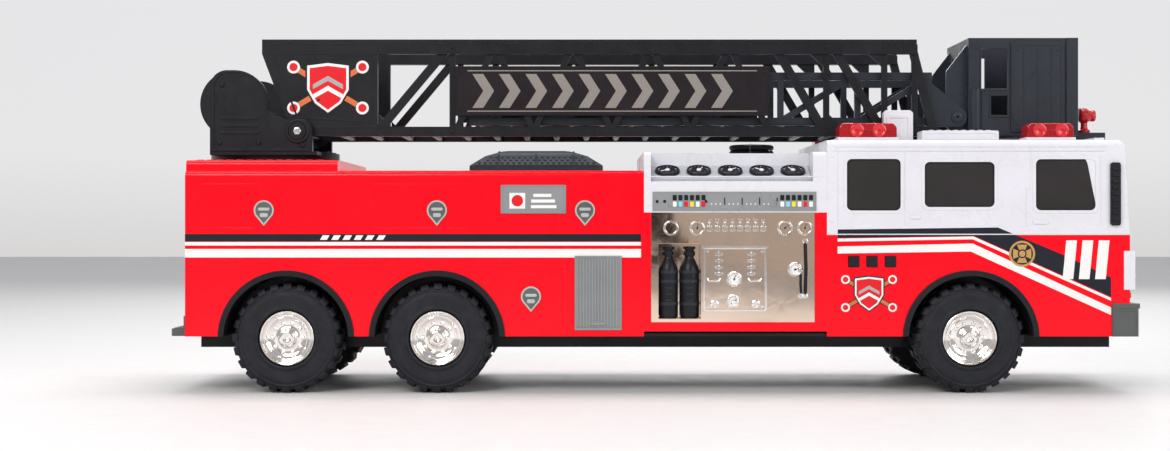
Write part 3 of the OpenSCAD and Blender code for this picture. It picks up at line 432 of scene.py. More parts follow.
GLAZING = plastic("dark_glazing", (0.028, 0.025, 0.026), rough=0.12, bump=0.03, vary=0.1, specular=0.3,
                  edge_light=0.1)
CHROME = chrome("vacuum_chrome", (0.90, 0.875, 0.845), rough=0.06, wave=0.05)
# painted reflection: the pump panels' chrome is tinted tan to stand in for warm surroundings reflected in it
TAN_REFLECTION_CHROME = chrome("panel_chrome", (0.86, 0.69, 0.56), rough=0.04, wave=0.12, swell=1.0)
TYRE = tyre_material("tyre")
STEEL = brushed("steel", (0.62, 0.63, 0.65))
RED_LENS = plastic("red_lens", (0.55, 0.002, 0.012), rough=0.1, bump=0.02, transmission=0.35, coat=0.2,
                   vary=0.1, specular=0.35, pale=(0.9, 0.1, 0.12))
RED_TRIM = plastic("red_trim", (0.62, 0.008, 0.018), rough=0.22, coat=0.2, vary=0.06, pale=(0.9, 0.15, 0.15))
CLEAR = plastic("clear_lens", (0.86, 0.9, 0.93), rough=0.06, bump=0.02, transmission=0.85, vary=0.02,
                edge_light=0.1)
SIGN = plastic("sign_board", (0.012, 0.0085, 0.011), rough=0.45, bump=0.3, vary=0.15, specular=0.2,
               pale=(0.06, 0.055, 0.06))
CELL = plastic("battery_wrap", (0.5, 0.33, 0.1), rough=0.3, vary=0.1)
BOARD = plastic("circuit_green", (0.02, 0.16, 0.06), rough=0.35, bump=0.3, vary=0.2)
AMBER = plastic("amber_lens", (0.85, 0.30, 0.01), rough=0.12, bump=0.02, transmission=0.4, coat=0.4)
INK_BLACK = print_ink("ink_black", (0.009, 0.011, 0.019))
INK_WHITE = print_ink("ink_white", (0.83, 0.83, 0.81))
INK_RED = print_ink("ink_red", (0.72, 0.012, 0.02))
INK_GREY = print_ink("ink_grey", (0.40, 0.40, 0.40))
INK_SIGN = print_ink("ink_sign", (0.26, 0.235, 0.215))
INK_GOLD = print_ink("ink_gold", (0.52, 0.30, 0.10))
INK_ORANGE = print_ink("ink_orange", (0.62, 0.17, 0.06))
INK_BLUE = print_ink("ink_blue", (0.25, 0.62, 0.80))
INK_YELLOW = print_ink("ink_yellow", (0.86, 0.68, 0.03))

NODE_LOOKS = {
    RED: ["rear_body", "pump_body", "cab_lower"],
    WHITE: ["pump_house", "cab_upper", "ladder_cradle", "roof_vents", "headlight_bezels", "power_switch"],
    BLACK: [
        "chassis", "arch_liners", "gauges", "air_cylinders", "mirrors", "battery_cover", "speaker",
        "button_rear", "button_middle", "button_front", "turntable", "turntable_ring", "ladder_pin",
        "ladder_sides", "ladder_rungs",
    ],
    SLATE: ["hose_packs", "hose_coil", "fly_sides", "fly_rungs", "bucket", "bucket_pin"],
    GREY: ["control_strips", "roller_shutters", "first_aid_plates", "latch_badges"],
    PANEL_GREY: ["gauge_panels"],
    BUMPER: ["front_bumper", "rear_step"],
    GLAZING: ["side_windows", "windscreen"],
    TAN_REFLECTION_CHROME: ["pump_panels"],
    CHROME: ["front_hubs", "middle_hubs", "rear_hubs", "front_grille"],
    TYRE: ["front_tyres", "middle_tyres", "rear_tyres"],
    STEEL: ["front_axle", "middle_axle", "rear_axle", "screws"],
    RED_LENS: ["light_pods", "tail_lights"],
    RED_TRIM: ["nozzle"],
    CLEAR: ["roof_leds", "headlights"],
    SIGN: ["sign_plates"],
    CELL: ["batteries"],
    BOARD: ["circuit_board", "button_board"],
}
for look, names in NODE_LOOKS.items():
    for name in names:
        mesh = NODES[name].data
        mesh.materials.clear()
        mesh.materials.append(look)


# ---- wheels ----


def tyre(bm):
    """A tyre about the origin with its outer face towards -Y, 40 wide and 44 in radius."""
    body = [
        (23.0, 0.6), (24.2, 0.2), (25.4, 0.4), (26.4, 1.2), (30.0, 1.0), (33.5, 0.55), (36.2, 0.75),
        (36.8, 1.25), (37.6, 1.25), (38.2, 0.8), (40.0, 1.6), (41.4, 3.4), (41.9, 6.0), (41.9, 17.6),
        (40.6, 18.2), (40.6, 21.8), (41.9, 22.4), (41.9, 34.0), (41.4, 36.6), (40.0, 38.4), (36.0, 39.2),
        (28.0, 38.8), (24.0, 39.6), (23.0, 39.0),
    ]
    lathe(bm, [(r, -h) for r, h in body], (0, 0, 0), steps=96, loop=True)
    lugs = 24
    for row, shift in ((0, 0.0), (1, 0.5)):
        outline = [(39.3, 0.5), (41.6, 0.9), (43.3, 2.6), (44.0, 4.4), (44.0, 17.0), (41.2, 17.0),
                   (41.2, 3.6)]
        if row:
            outline = [(r, 40 - h) for r, h in outline]
        for k in range(lugs):
            middle = (k + shift) / lugs * math.tau
            sides = []
            for half in (-1, 1):
                loop = []
                for r, h in outline:
                    a = middle + half * (0.078 - 0.0012 * (r - 39))
                    skew = 0.03 * (h - 8) / 12 * (1 if row == 0 else -1)
                    loop.append(bm.verts.new((r * math.cos(a + skew), h, r * math.sin(a + skew))))
                sides.append(loop)
            bm.faces.new(sides[0])
            bm.faces.new(sides[1][::-1])
            for i in range(len(outline)):
                j = (i + 1) % len(outline)
                bm.faces.new((sides[0][i], sides[1][i], sides[1][j], sides[0][j]))
    for k in range(60):
        a = k / 60 * math.tau
        out = Vector((math.cos(a), 0, math.sin(a)))
        tube(bm, [out * 34.6 + Vector((0, 0.95, 0)), out * 36.0 + Vector((0, 1.05, 0))], 0.35, 6)


def hub(bm):
    """A plated hub about the origin with its outer face at y = 0, facing -Y."""
    dish = [
        (0, 2.2), (1.6, 2.2), (1.9, 0.9), (3.4, 0.35), (5.2, 0.45), (6.3, 1.1), (6.8, 2.0), (7.4, 4.6),
        (8.6, 5.4), (10.0, 5.7), (13.6, 5.3), (15.8, 4.2), (17.2, 2.9), (18.4, 2.7), (19.0, 3.6),
        (19.5, 3.5), (19.9, 1.4), (20.5, 0.35), (21.4, 0.1), (22.2, 0.5), (22.5, 1.3), (22.5, 32.0),
        (20.5, 32.0), (20.2, 6.0), (14.0, 8.2), (7.0, 8.0), (6.0, 35.0), (2.55, 36.0), (2.55, 7.0), (0, 7.0),
    ]
    lathe(bm, [(r, -h) for r, h in dish], (0, 0, 0), steps=96)
    for k in range(10):
        a = k / 10 * math.tau
        at = Vector((12.0 * math.cos(a), 5.7, 12.0 * math.sin(a)))
        lathe(bm, [(0, -0.6), (1.75, -0.6), (1.75, 0.9), (1.2, 1.35), (0, 1.35)], at, steps=6)
    for k in range(5):
        a = (k + 0.5) / 5 * math.tau
        along = Vector((-math.sin(a), 0, math.cos(a)))
        at = Vector((16.4 * math.cos(a), 3.5, 16.4 * math.sin(a)))
        tube(bm, [at - along * 2.4, at - along * 1.2 - Vector((0, 0.35, 0)),
                  at + along * 1.2 - Vector((0, 0.35, 0)), at + along * 2.4], 0.8, 10)


TYRE_OUT = span("front_tyres")[1].y
HUB_OUT = span("front_hubs")[1].y
for axle, x in AXLES.items():
    for make, title, out, look, slot, bevel in (
        (tyre, "tyres", TYRE_OUT, TYRE, "tyre", 0.35),
        (hub, "hubs", HUB_OUT, CHROME, "vacuum_chrome", 0.0),
    ):
        one, pair = bmesh.new(), bmesh.new()
        make(one)
        stamp(pair, one, Matrix.Translation((x, -out, AXLE_Z)))
        one.free()
        both_sides(pair)
        piece(f"{axle}_{title}_detailed", pair, look, f"{axle}_wheels", slot, bevel, 1, 40,
              replaces=[f"{axle}_{title}"])

# ---- printed stripes and marks on the sides ----

SKIN = 0.14


def decal(name, outlines, ink, y=None, body="truck", slot="red_plastic", thick=SKIN):
    """A thin printed film with its outlines in x and z, on both sides."""
    y = HALF if y is None else y
    bm = bmesh.new()
    for points in outlines:
        prism(bm, points, -y - thick, -y + 0.3)
    return piece(name, bm, ink, body, slot, mirror=True)


def bar(x0, x1, z0, z1, slant=0.0):
    """A four-sided outline whose top edge is moved along by the slant."""
    return [(x0, z0), (x1, z0), (x1 + slant, z1), (x0 + slant, z1)]


STRIPE_END = PUMP - 2.4
decal("rear_stripe_black", [bar(REAR, STRIPE_END, 121.6, 127.6)], INK_BLACK)
decal("rear_stripe_thin", [bar(REAR, STRIPE_END, 118.4, 121.2)], INK_WHITE)
decal("rear_stripe_white", [bar(REAR, STRIPE_END, 108.8, 115.6)], INK_WHITE)
decal("rear_stripe_dashes", [bar(REAR + 108 + 9 * k, REAR + 113.5 + 9 * k, 122.9, 126.6, 2.2)
                             for k in range(6)],
      INK_WHITE, thick=SKIN + 0.1)
decal("cab_stripe_black", [[
    (CAB + 8.5, 124.4), (CAB + 117.3, 126.0), (NOSE - 15.2, 77.2), (NOSE - 15.2, 92.8), (CAB + 186.4, 112.0),
    (CAB + 136.8, 132.8), (CAB + 8.5, 131.2),
]], INK_BLACK)
decal("cab_stripe_thin", [[
    (CAB + 8.5, 121.6), (CAB + 116.6, 123.4), (NOSE - 15.2, 74.2), (NOSE - 15.2, 76.4), (CAB + 117.1, 125.6),
    (CAB + 8.5, 123.9),
]], INK_WHITE)
decal("cab_stripe_white", [[
    (CAB + 8.5, 112.0), (CAB + 115.0, 113.6), (NOSE - 15.2, 62.8), (NOSE - 15.2, 68.8), (CAB + 116.4, 120.0),
    (CAB + 8.5, 117.6),
]], INK_WHITE)
decal("cab_side_bars", [bar(NOSE - 54 + 13 * k, NOSE - 45.5 + 13 * k, 91.5, 122.5, 3.0) for k in range(3)],
      INK_WHITE, thick=SKIN + 0.1)


def arc(cx, cz, r, start, end, steps):
    """Points along an arc between two angles in degrees."""
    return [
        (cx + r * math.cos(math.radians(start + (end - start) * k / steps)),
         cz + r * math.sin(math.radians(start + (end - start) * k / steps)))
        for k in range(steps + 1)
    ]


def cross_outline(cx, cz, r):
    """A plain cross with flared arms."""
    points = []
    for k in range(4):
        for a, s in ((-30, 1.0), (0, 0.9), (30, 1.0), (45, 0.32)):
            t = math.radians(90 * k + a)
            points.append((cx + r * s * math.cos(t), cz + r * s * math.sin(t)))
    return points


def shield(cx, cz, w, h):
    """A plain shield outline."""
    return [
        (cx - w, cz + h), (cx, cz + h * 1.12), (cx + w, cz + h), (cx + w, cz - h * 0.1),
        (cx + w * 0.62, cz - h * 0.72), (cx, cz - h * 1.15), (cx - w * 0.62, cz - h * 0.72),
        (cx - w, cz - h * 0.1),
    ]


def badge(prefix, cx, cz, scale, y, body, slot):
    """A plain shield with a chevron over two crossed poles with round tips."""
    k = scale

    def pole(s, width, reach):
        direction = Vector((s * 0.86, 0.51))
        side = Vector((-direction.y, direction.x)) * width * k
        a, b = Vector((cx, cz)) - direction * reach * k, Vector((cx, cz)) + direction * reach * k
        return [tuple(a - side), tuple(b - side), tuple(b + side), tuple(a + side)]

    def tips(r):
        return [circle(cx + s * 19.2 * k, cz + t * 11.4 * k, r * k, 20) for s in (-1, 1) for t in (-1, 1)]

    decal(prefix + "_poles_rim", [pole(s, 2.3, 19.5) for s in (-1, 1)], INK_BLACK, y, body, slot)
    decal(prefix + "_poles", [pole(s, 1.5, 19) for s in (-1, 1)], INK_ORANGE, y, body, slot, SKIN + 0.05)
    decal(prefix + "_tips", tips(3.6), INK_WHITE, y, body, slot, SKIN + 0.08)
    decal(prefix + "_tip_dots", tips(2.3), INK_RED, y, body, slot, SKIN + 0.12)
    for title, w, h, ink, t in (("rim", 12.6, 13.2, INK_BLACK, 0.1), ("edge", 11.6, 12.2, INK_WHITE, 0.16),
                                ("field", 10.2, 10.8, INK_RED, 0.2)):
        decal(f"{prefix}_shield_{title}", [shield(cx, cz, w * k, h * k)], ink, y, body, slot, SKIN + t)
    chevrons = [
        [(cx - 8.4 * k, cz + z * k), (cx, cz + (z + 4.6) * k), (cx + 8.4 * k, cz + z * k),
         (cx + 8.4 * k, cz + (z + 2.6) * k), (cx, cz + (z + 7.4) * k), (cx - 8.4 * k, cz + (z + 2.6) * k)]
        for z in (-6.4, -0.9)
    ]
    decal(prefix + "_chevrons", chevrons[:1], INK_WHITE, y, body, slot, SKIN + 0.25)
    decal(prefix + "_chevron_grey", chevrons[1:], INK_GREY, y, body, slot, SKIN + 0.25)


badge("cab_badge", CAB + 33.6, 80.0, 0.98, HALF, "truck", "red_plastic")
for title, r, ink, t in (("rim", 10.4, INK_GOLD, 0.14), ("field", 8.7, INK_BLACK, 0.2)):
    decal(f"cab_roundel_{title}", [circle(CAB + 156, 111.8, r)], ink, thick=SKIN + t)
decal("cab_roundel_cross", [cross_outline(CAB + 156, 111.8, 8.2)], INK_GOLD, thick=SKIN + 0.3)
decal("cab_roundel_ring", [circle(CAB + 156, 111.8, 3.6, 24)], INK_BLACK, thick=SKIN + 0.36)
decal("cab_roundel_heart", [circle(CAB + 156, 111.8, 2.5, 24)], INK_GOLD, thick=SKIN + 0.42)

# first-aid plates: a plain red disc on white, and plain lines
PLATE = span("first_aid_plates")
plate_x, plate_z, plate_y = PLATE[0].x, PLATE[0].z, PLATE[1].y
decal("aid_square", [bar(plate_x + 7, plate_x + 19.6, plate_z + 3.9, plate_z + 16.5)], INK_WHITE, plate_y,
      slot="grey_plastic")
decal("aid_disc", [circle(plate_x + 13.3, plate_z + 10.2, 4.6)], INK_RED, plate_y, slot="grey_plastic",
      thick=SKIN + 0.08)
decal("aid_lines", [bar(plate_x + a, plate_x + b, plate_z + z, plate_z + z + 2.5)
                    for a, b, z in ((26, 40.5, 13.2), (24.4, 43.4, 8.7), (24.2, 44.6, 4.2))], INK_WHITE,
                    plate_y,
      slot="grey_plastic")
bm = bmesh.new()
border(bm, (plate_x, plate_x + 52.2, plate_z, plate_z + 22.8), 1.2, 1.1, 0.8, -plate_y - 0.35, -plate_y + 0.2)
for x, z in ((2.6, 2.6), (49.6, 2.6), (2.6, 20.2), (49.6, 20.2)):
    disc(bm, (plate_x + x, -plate_y + 0.1, plate_z + z), 0.9, 0.5, steps=16, chamfer=0.2)
piece("aid_rims", bm, GREY, bevel=0.15, mirror=True)

# latch badges: a pale rim and a pale bar on each keyhole shape
BADGE_Y = span("latch_badges")[1].y


def keyhole(cx, cz, k):
    return arc(cx, cz, 8 * k, -30, 210, 24) + [(cx, cz - 12.4 * k)]


PALE_GREY = plastic("pale_trim", (0.44, 0.47, 0.43), rough=0.3, vary=0.05)
DARK_GREY = plastic("dark_trim", (0.10, 0.108, 0.112), rough=0.35, vary=0.08)
rims, bars, wells = bmesh.new(), bmesh.new(), bmesh.new()
for x, z in ((REAR + 63.2, 146.5), (AXLES["middle"], 146.5), (PUMP - 47.2, 146.5), (PUMP - 90.4, 77.6)):
    frame_plate(rims, keyhole(x, z, 1.0), keyhole(x, z, 0.84), -BADGE_Y - 0.4, -BADGE_Y + 0.2)
    prism(wells, keyhole(x, z, 0.86), -BADGE_Y - 0.1, -BADGE_Y + 0.2)
    prism(bars, rounded(x - 4.6, x + 4.6, z - 0.2, z + 2.2, 1.1), -BADGE_Y - 0.45, -BADGE_Y)
    prism(bars, rounded(x - 3.2, x + 3.2, z - 5.4, z - 2.2, 1.3), -BADGE_Y - 0.25, -BADGE_Y)
piece("latch_rims", rims, PALE_GREY, slot="grey_plastic", bevel=0.15, mirror=True)
piece("latch_wells", wells, DARK_GREY, slot="grey_plastic", mirror=True)
piece("latch_bars", bars, PALE_GREY, slot="grey_plastic", bevel=0.2, mirror=True)

# moulded seams, door outlines and tabs on the red shells
bm = bmesh.new()
BEAD = 0.3
for x in (REAR + 241.6, REAR + 300.0):
    block(bm, x - 0.45, x + 0.45, *near_side(BEAD, 0.4), 133, 171)
block(bm, REAR + 299.55, REAR + 300.45, *near_side(BEAD, 0.4), 56, 104)
prism(bm, rounded(REAR + 92, REAR + 101, 165, 167.6, 1.2), *near_side(0.5, 0.3))
for x0, x1, z0, z1 in ((REAR + 12, REAR + 60, 132, 168), (REAR + 150, REAR + 226, 132, 168)):
    border(bm, (x0, x1, z0, z1), 3, 0.7, 2.4,
                *near_side(0.12, 0.3))
block(bm, CAB + 1, CAB + 62, *near_side(BEAD, 0.4), 52.2, 53.2)
block(bm, CAB + 62, CAB + 63, *near_side(BEAD, 0.4), 52.2, 108)
block(bm, NOSE - 13.6, NOSE - 12.8, *near_side(0.2, 0.4), 46, 126)
for x0, x1 in ((REAR, AXLES["rear"] - 58), (AXLES["middle"] + 58, PUMP)):
    block(bm, x0, x1, *near_side(0.2, 0.4), BODY_Z + 0.2, BODY_Z + 1.6)
piece("body_seams", bm, RED, bevel=0.12, mirror=True)

# shutters: a frame, a centre bar and a pull
SHUT = span("roller_shutters")
bm = bmesh.new()
sx0, sx1, sz0, sz1, sy = SHUT[0].x, SHUT[1].x, SHUT[0].z, SHUT[1].z, SHUT[1].y
frame_plate(bm, [(sx0 - 1, sz0 - 1), (sx1 + 1, sz0 - 1), (sx1 + 1, sz1 + 1), (sx0 - 1, sz1 + 1)],
            [(sx0 + 0.5, sz0 + 0.6), (sx1 - 0.5, sz0 + 0.6), (sx1 - 0.5, sz1 - 0.6), (sx0 + 0.5, sz1 - 0.6)],
            -sy - 0.15, -HALF + 0.2)
middle = (sx0 + sx1) / 2
block(bm, middle - 0.7, middle + 0.7, -sy - 0.25, -sy + 0.4, sz0, sz1)
prism(bm, rounded(middle - 6, middle + 6, sz0 + 3, sz0 + 5.2, 1), -sy - 0.45, -sy + 0.4)
piece("shutter_frames", bm, GREY, bevel=0.15, mirror=True)

# ---- pump section ----

panel_x = PUMP + 5.6
PANEL_Y = HALF - 0.8
bezels, faces, needles, levers = bmesh.new(), bmesh.new(), bmesh.new(), bmesh.new()
for x, z, r in ((panel_x + 16, 132.4, 6.2), (panel_x + 37, 132.4, 6.2), (panel_x + 107.2, 132.4, 6.2),
                (panel_x + 123.2, 132.4, 6.2), (panel_x + 115.4, 99.2, 6.0), (panel_x + 66.6, 91.5, 6.2),
                (panel_x + 65.5, 73.8, 5.6)):
    lathe(bezels, [(0, -0.6), (r, -0.6), (r, 0.9), (r - 0.7, 1.6), (r - 1.5, 1.6), (r - 1.9, 0.7), (0, 0.7)],
          (x, -PANEL_Y, z), steps=40)
    lathe(faces, [(0, 0.4), (r - 1.8, 0.4), (r - 1.8, 0.85), (0, 0.85)], (x, -PANEL_Y, z), steps=32)
    for k in range(9):
        a = math.radians(-40 + 260 * k / 8)
        out = Vector((math.cos(a), 0, math.sin(a)))
        tube(needles, [Vector((x, -PANEL_Y - 0.9, z)) + out * (r - 3.0),
                       Vector((x, -PANEL_Y - 0.9, z)) + out * (r - 2.2)],
             0.2, 6)
    a = math.radians(50 + 40 * math.sin(x))
    out = Vector((math.cos(a), 0, math.sin(a)))
    tube(needles, [Vector((x, -PANEL_Y - 0.95, z)) - out * 1.2,
                   Vector((x, -PANEL_Y - 0.95, z)) + out * (r - 2.8)], 0.28, 6)
    disc(needles, (x, -PANEL_Y - 0.6, z), 0.8, 0.6, steps=16)
piece("panel_bezels", bezels, CHROME, mirror=True)
piece("panel_dials", faces, INK_WHITE, slot="vacuum_chrome", mirror=True)
piece("panel_needles", needles, INK_BLACK, slot="vacuum_chrome", mirror=True)
for k in range(8):
    x = panel_x + 46.8 + 6.15 * k
    prism(levers, rounded(x - 1.5, x + 1.5, 136.2, 139.8, 0.8), *near_side(0.7, 0.4, PANEL_Y))
    tube(levers, [(x, -PANEL_Y + 0.2, 137.2), (x, -PANEL_Y - 1.0, 136.4), (x, -PANEL_Y - 1.1, 133.2)], 0.6, 8)
    prism(levers, rounded(x - 2.3, x + 2.3, 129.6, 134.2, 1.5), *near_side(1.7, 0.3, PANEL_Y))
piece("panel_levers", levers, CHROME, bevel=0.3, mirror=True)
bm = bmesh.new()
px0, px1, pz0, pz1 = panel_x + 41.8, panel_x + 92.6, 65.6, 117.2
border(bm, (px0, px1, pz0, pz1), 1.6, 1.7, 1, *near_side(1.1, 0.3, PANEL_Y))
block(bm, px0 - 1.5, px1 + 1.5, *near_side(1.3, 0.3, PANEL_Y), pz1 - 1, pz1 + 1)
for x, top in ((px0 + 12.5, pz1 - 3), (px0 + 38.5, pz1 - 3)):
    tube(bm, [(x, -PANEL_Y - 0.4, top), (x, -PANEL_Y - 0.4, top - 20)], 0.8, 10)
    for k in range(4):
        prism(bm, rounded(x - 3.2, x + 3.2, top - 4 - 5.2 * k, top - 1.6 - 5.2 * k, 1),
              *near_side(1.1, 0.3, PANEL_Y))
for x0, x1 in ((px0 + 3.5, px0 + 13.5), (px1 - 14.5, px1 - 4.5)):
    tube(bm, [(x0, -PANEL_Y + 0.2, 92), (x0 + 1, -PANEL_Y - 0.9, 90), (x1 - 1, -PANEL_Y - 0.9, 90),
              (x1, -PANEL_Y + 0.2, 92)], 1.0, 10)
for x in (px0 + 3.5, px1 - 3.5):
    for z in (pz0 + 3.5, pz1 - 3.5):
        disc(bm, (x, -PANEL_Y + 0.2, z), 1.1, 1.1, steps=6, chamfer=0.2)
for k in range(3):
    lathe(bm, [(0, 0), (3.6, 0), (3.6, 1.2), (2.6, 1.7), (2.6, 1.0), (0, 1.0)],
          (px0 + 9 + 16.5 * k, -PANEL_Y + 0.3, 68.5 + 3), steps=8)
piece("panel_frames", bm, CHROME, bevel=0.25, mirror=True)
bm = bmesh.new()
hx = panel_x + 123.5
tube(bm, [(hx, -PANEL_Y + 0.3, 121.5), (hx, -PANEL_Y - 0.5, 119), (hx + 0.5, -PANEL_Y - 0.7, 100),
          (hx, -PANEL_Y - 0.5, 81), (hx, -PANEL_Y + 0.3, 78.5)], 1.4, 12)
tube(bm, [(hx - 3.6, -PANEL_Y + 0.3, 97), (hx - 3.8, -PANEL_Y - 0.2, 88), (hx - 3.2, -PANEL_Y + 0.3, 79)],
     1.1, 12)
piece("panel_hoses", bm, BLACK, mirror=True)
bm = bmesh.new()
for x, z in ((hx, 122), (hx, 78), (hx - 4, 98), (hx - 3.6, 78)):
    lathe(bm, [(0, 0), (2.6, 0), (2.6, 1.1), (1.9, 1.6), (0, 1.6)], (x, -PANEL_Y + 0.3, z), steps=6)
piece("panel_hose_nuts", bm, CHROME, mirror=True)

# air cylinders
CYL = span("air_cylinders")
cyl_r = 7.6
cyl_y = HALF - 0.8 - (2 * cyl_r + 1) + cyl_r
bottles, straps = bmesh.new(), bmesh.new()
for x in (panel_x + 6 + 8.5, panel_x + 6 + 25.5):
    lathe(bottles, [
        (0, 0), (cyl_r - 1.6, 0), (cyl_r - 0.4, 0.8), (cyl_r, 2.2), (cyl_r, 38), (cyl_r - 0.5, 41),
        (cyl_r - 2.2, 44.4), (4.2, 47), (3.4, 48.2), (3.2, 50), (4.3, 50.4), (4.3, 53.6), (3.4, 54.2),
        (3.4, 55.4), (4.6, 55.6),
    ] + [(4.6, 57.6), (0, 58)], (x, -cyl_y, CYL[0].z), (0, 0, 1), 40)
    for z in (10.5, 28.5, 36):
        lathe(straps, [(cyl_r - 0.3, z), (cyl_r + 0.25, z), (cyl_r + 0.25, z + 2.6), (cyl_r - 0.3, z + 2.6)],
              (x, -cyl_y, CYL[0].z), (0, 0, 1), 40, loop=True)
    for z in (14, 19, 24):
        prism(straps, rounded(x - 2.6, x + 2.6, CYL[0].z + z, CYL[0].z + z + 1.2, 0.5), -cyl_y - cyl_r - 0.1,
              -cyl_y - cyl_r + 0.6)
    tube(straps, [(x - 3.8, -cyl_y, CYL[0].z + 52), (x + 3.8, -cyl_y, CYL[0].z + 52)], 1.6, 12)
piece("air_bottles", bottles, BLACK, replaces=["air_cylinders"], mirror=True)
piece("air_bottle_straps", straps, SLATE, slot="black_plastic", bevel=0.15, mirror=True)

# control strips: black keys and coloured marks
STRIP = span("control_strips")
strip_x, strip_z = STRIP[0].x, STRIP[0].z
keys, blue, red, yellow, white = (bmesh.new() for _ in range(5))
face = -HALF - 0.6
for start in (17.5, 103.5):
    for k in range(6):
        x = strip_x + start + 4.6 * k
        prism(keys, rounded(x - 1.6, x + 1.6, strip_z + 8.2, strip_z + 12.4, 0.5), face - 0.5, face + 0.3)
        target = ((white, blue, yellow, white, red, white) if start > 50 else
                  (white, blue, red, yellow, white, red))[k]
        prism(target, rounded(x - 1.5, x + 1.5, strip_z + 3.0, strip_z + 7.2, 0.5), face - 0.55, face + 0.3)
for k in range(16):
    x = strip_x + 47 + 3.5 * k
    part, height = (keys, 10.4) if k % 4 == 3 else (white, 5.8)
    prism(part, rounded(x - 0.5, x + 0.5, strip_z + 4.6, strip_z + height, 0.4), face - 0.12, face + 0.3)
for x in (3.5, 9.5, 42.5):
    disc(keys, (strip_x + x, face + 0.2, strip_z + 7.2), 1.3, 0.5, steps=20, chamfer=0.15)
for title, part, ink in (("keys", keys, BLACK), ("blue", blue, INK_BLUE), ("red", red, INK_RED),
                         ("yellow", yellow, INK_YELLOW), ("white", white, INK_WHITE)):
    piece("strip_" + title, part, ink, slot="grey_plastic", bevel=0.1, mirror=True)
bm = bmesh.new()
frame_plate(bm, [(strip_x - 0.2, strip_z - 0.4), (STRIP[1].x + 0.2, strip_z - 0.4),
                 (STRIP[1].x + 0.2, STRIP[1].z + 0.4), (strip_x - 0.2, STRIP[1].z + 0.4)],
            [(strip_x + 0.8, strip_z + 0.6), (STRIP[1].x - 0.8, strip_z + 0.6),
             (STRIP[1].x - 0.8, STRIP[1].z - 0.6), (strip_x + 0.8, STRIP[1].z - 0.6)],
            face - 0.15, face + 0.4)
piece("strip_frames", bm, GREY, bevel=0.1, mirror=True)

# round gauges on the slopes: bezel, dial, ticks and needle
GAUGE_R = 10.0
slope_foot = Matrix.Translation((0, -(HALF - 3), span("pump_house")[0].z + 24.8))
slope = slope_foot @ Matrix.Rotation(math.radians(23), 4, "X")
bezels, faces, marks = bmesh.new(), bmesh.new(), bmesh.new()
for k in range(5):
    x = PUMP + 19.6 + 25.4 * k
    at = (x, 17.0, 1.4)
    lathe(bezels, [(0, -0.4), (GAUGE_R, -0.4), (GAUGE_R, 2.2), (GAUGE_R - 0.5, 2.9), (GAUGE_R - 1.3, 3.1),
                   (GAUGE_R - 1.9, 2.7), (GAUGE_R - 2.2, 1.6), (0, 1.6)], at, (0, 0, 1), 56)
    lathe(faces, [(0, 1.4), (GAUGE_R - 2.1, 1.4), (GAUGE_R - 2.1, 1.9), (0, 1.9)], at, (0, 0, 1), 40)
    for t in range(13):
        a = math.radians(-50 + 280 * t / 12)
        out = Vector((math.cos(a), math.sin(a), 0))
        base = Vector(at) + Vector((0, 0, 2.0))
        tube(marks, [base + out * (7.2 if t % 3 else 6.4), base + out * 7.7], 0.16 if t % 3 else 0.24, 6)
    a = math.radians((205, 60, 40, 140, 120)[k])
    out = Vector((math.cos(a), math.sin(a), 0))
    base = Vector(at) + Vector((0, 0, 2.2))
    tube(marks, [base - out * 2.0, base + out * 3.0, base + out * 6.2], 0.42, 8)
    lathe(marks, [(0, 1.8), (1.9, 1.8), (1.9, 2.5), (1.3, 3.0), (0, 3.0)], at, (0, 0, 1), 24)
for part in (bezels, faces, marks):
    bmesh.ops.transform(part, matrix=slope, verts=part.verts[:])
piece("gauge_bezels", bezels, BLACK, replaces=["gauges"], mirror=True)
piece("gauge_dials", faces, INK_BLACK, slot="black_plastic", mirror=True)
piece("gauge_marks", marks, INK_WHITE, slot="black_plastic", mirror=True)
bm = bmesh.new()
for k in range(6):
    x = PUMP + 6.4 + 25.4 * k if 0 < k < 5 else (PUMP + 7.2 if not k else PUMP + 134.2)
    block(bm, x - 0.3, x + 0.3, 2.6, 33, 1.3, 1.75)
for k in range(5):
    for dx in (-10.6, 10.6):
        for dy in (-11, 11):
            disc(bm, (PUMP + 19.6 + 25.4 * k + dx, 17 + dy, 1.3), 0.8, 0.55, (0, 0, 1), 12, 0.15)
bmesh.ops.transform(bm, matrix=slope, verts=bm.verts[:])
piece("gauge_panel_details", bm, PANEL_GREY, slot="grey_plastic", bevel=0.1, mirror=True)

# hose packs on the deck: a ribbed, studded cover over folded hose
PACK = span("hose_packs")
pack_x0, pack_x1, pack_y1, pack_z1 = PACK[0].x, PACK[1].x, PACK[1].y, PACK[1].z
pack_y0, deck = pack_y1 - 28, pack_z1 - 16.4
bm = bmesh.new()
levels = [(0, -2.0, 0), (0, 4.6, 0), (1.2, 5.4, 1.0), (12.5, 12.4, 4.0), (23.5, 15.6, 6.4), (27, 16.4, 8.4)]
rings = []
for dx, dz, dy in levels:
    loop = rounded(pack_x0 + dx, pack_x1 - dx, pack_y0 + dy, pack_y1 - dy, 3.0, 4)
    rings.append([bm.verts.new((x, -y, deck + dz)) for x, y in loop])
for a, b in zip(rings, rings[1:]):
    for i in range(len(a)):
        j = (i + 1) % len(a)
        bm.faces.new((a[i], a[j], b[j], b[i]))
bm.faces.new(rings[0])
bm.faces.new(rings[-1])
piece("hose_pack_covers", bm, SLATE, bevel=0.6, segments=3, replaces=["hose_packs"], mirror=True)
bm = bmesh.new()
length = pack_x1 - pack_x0
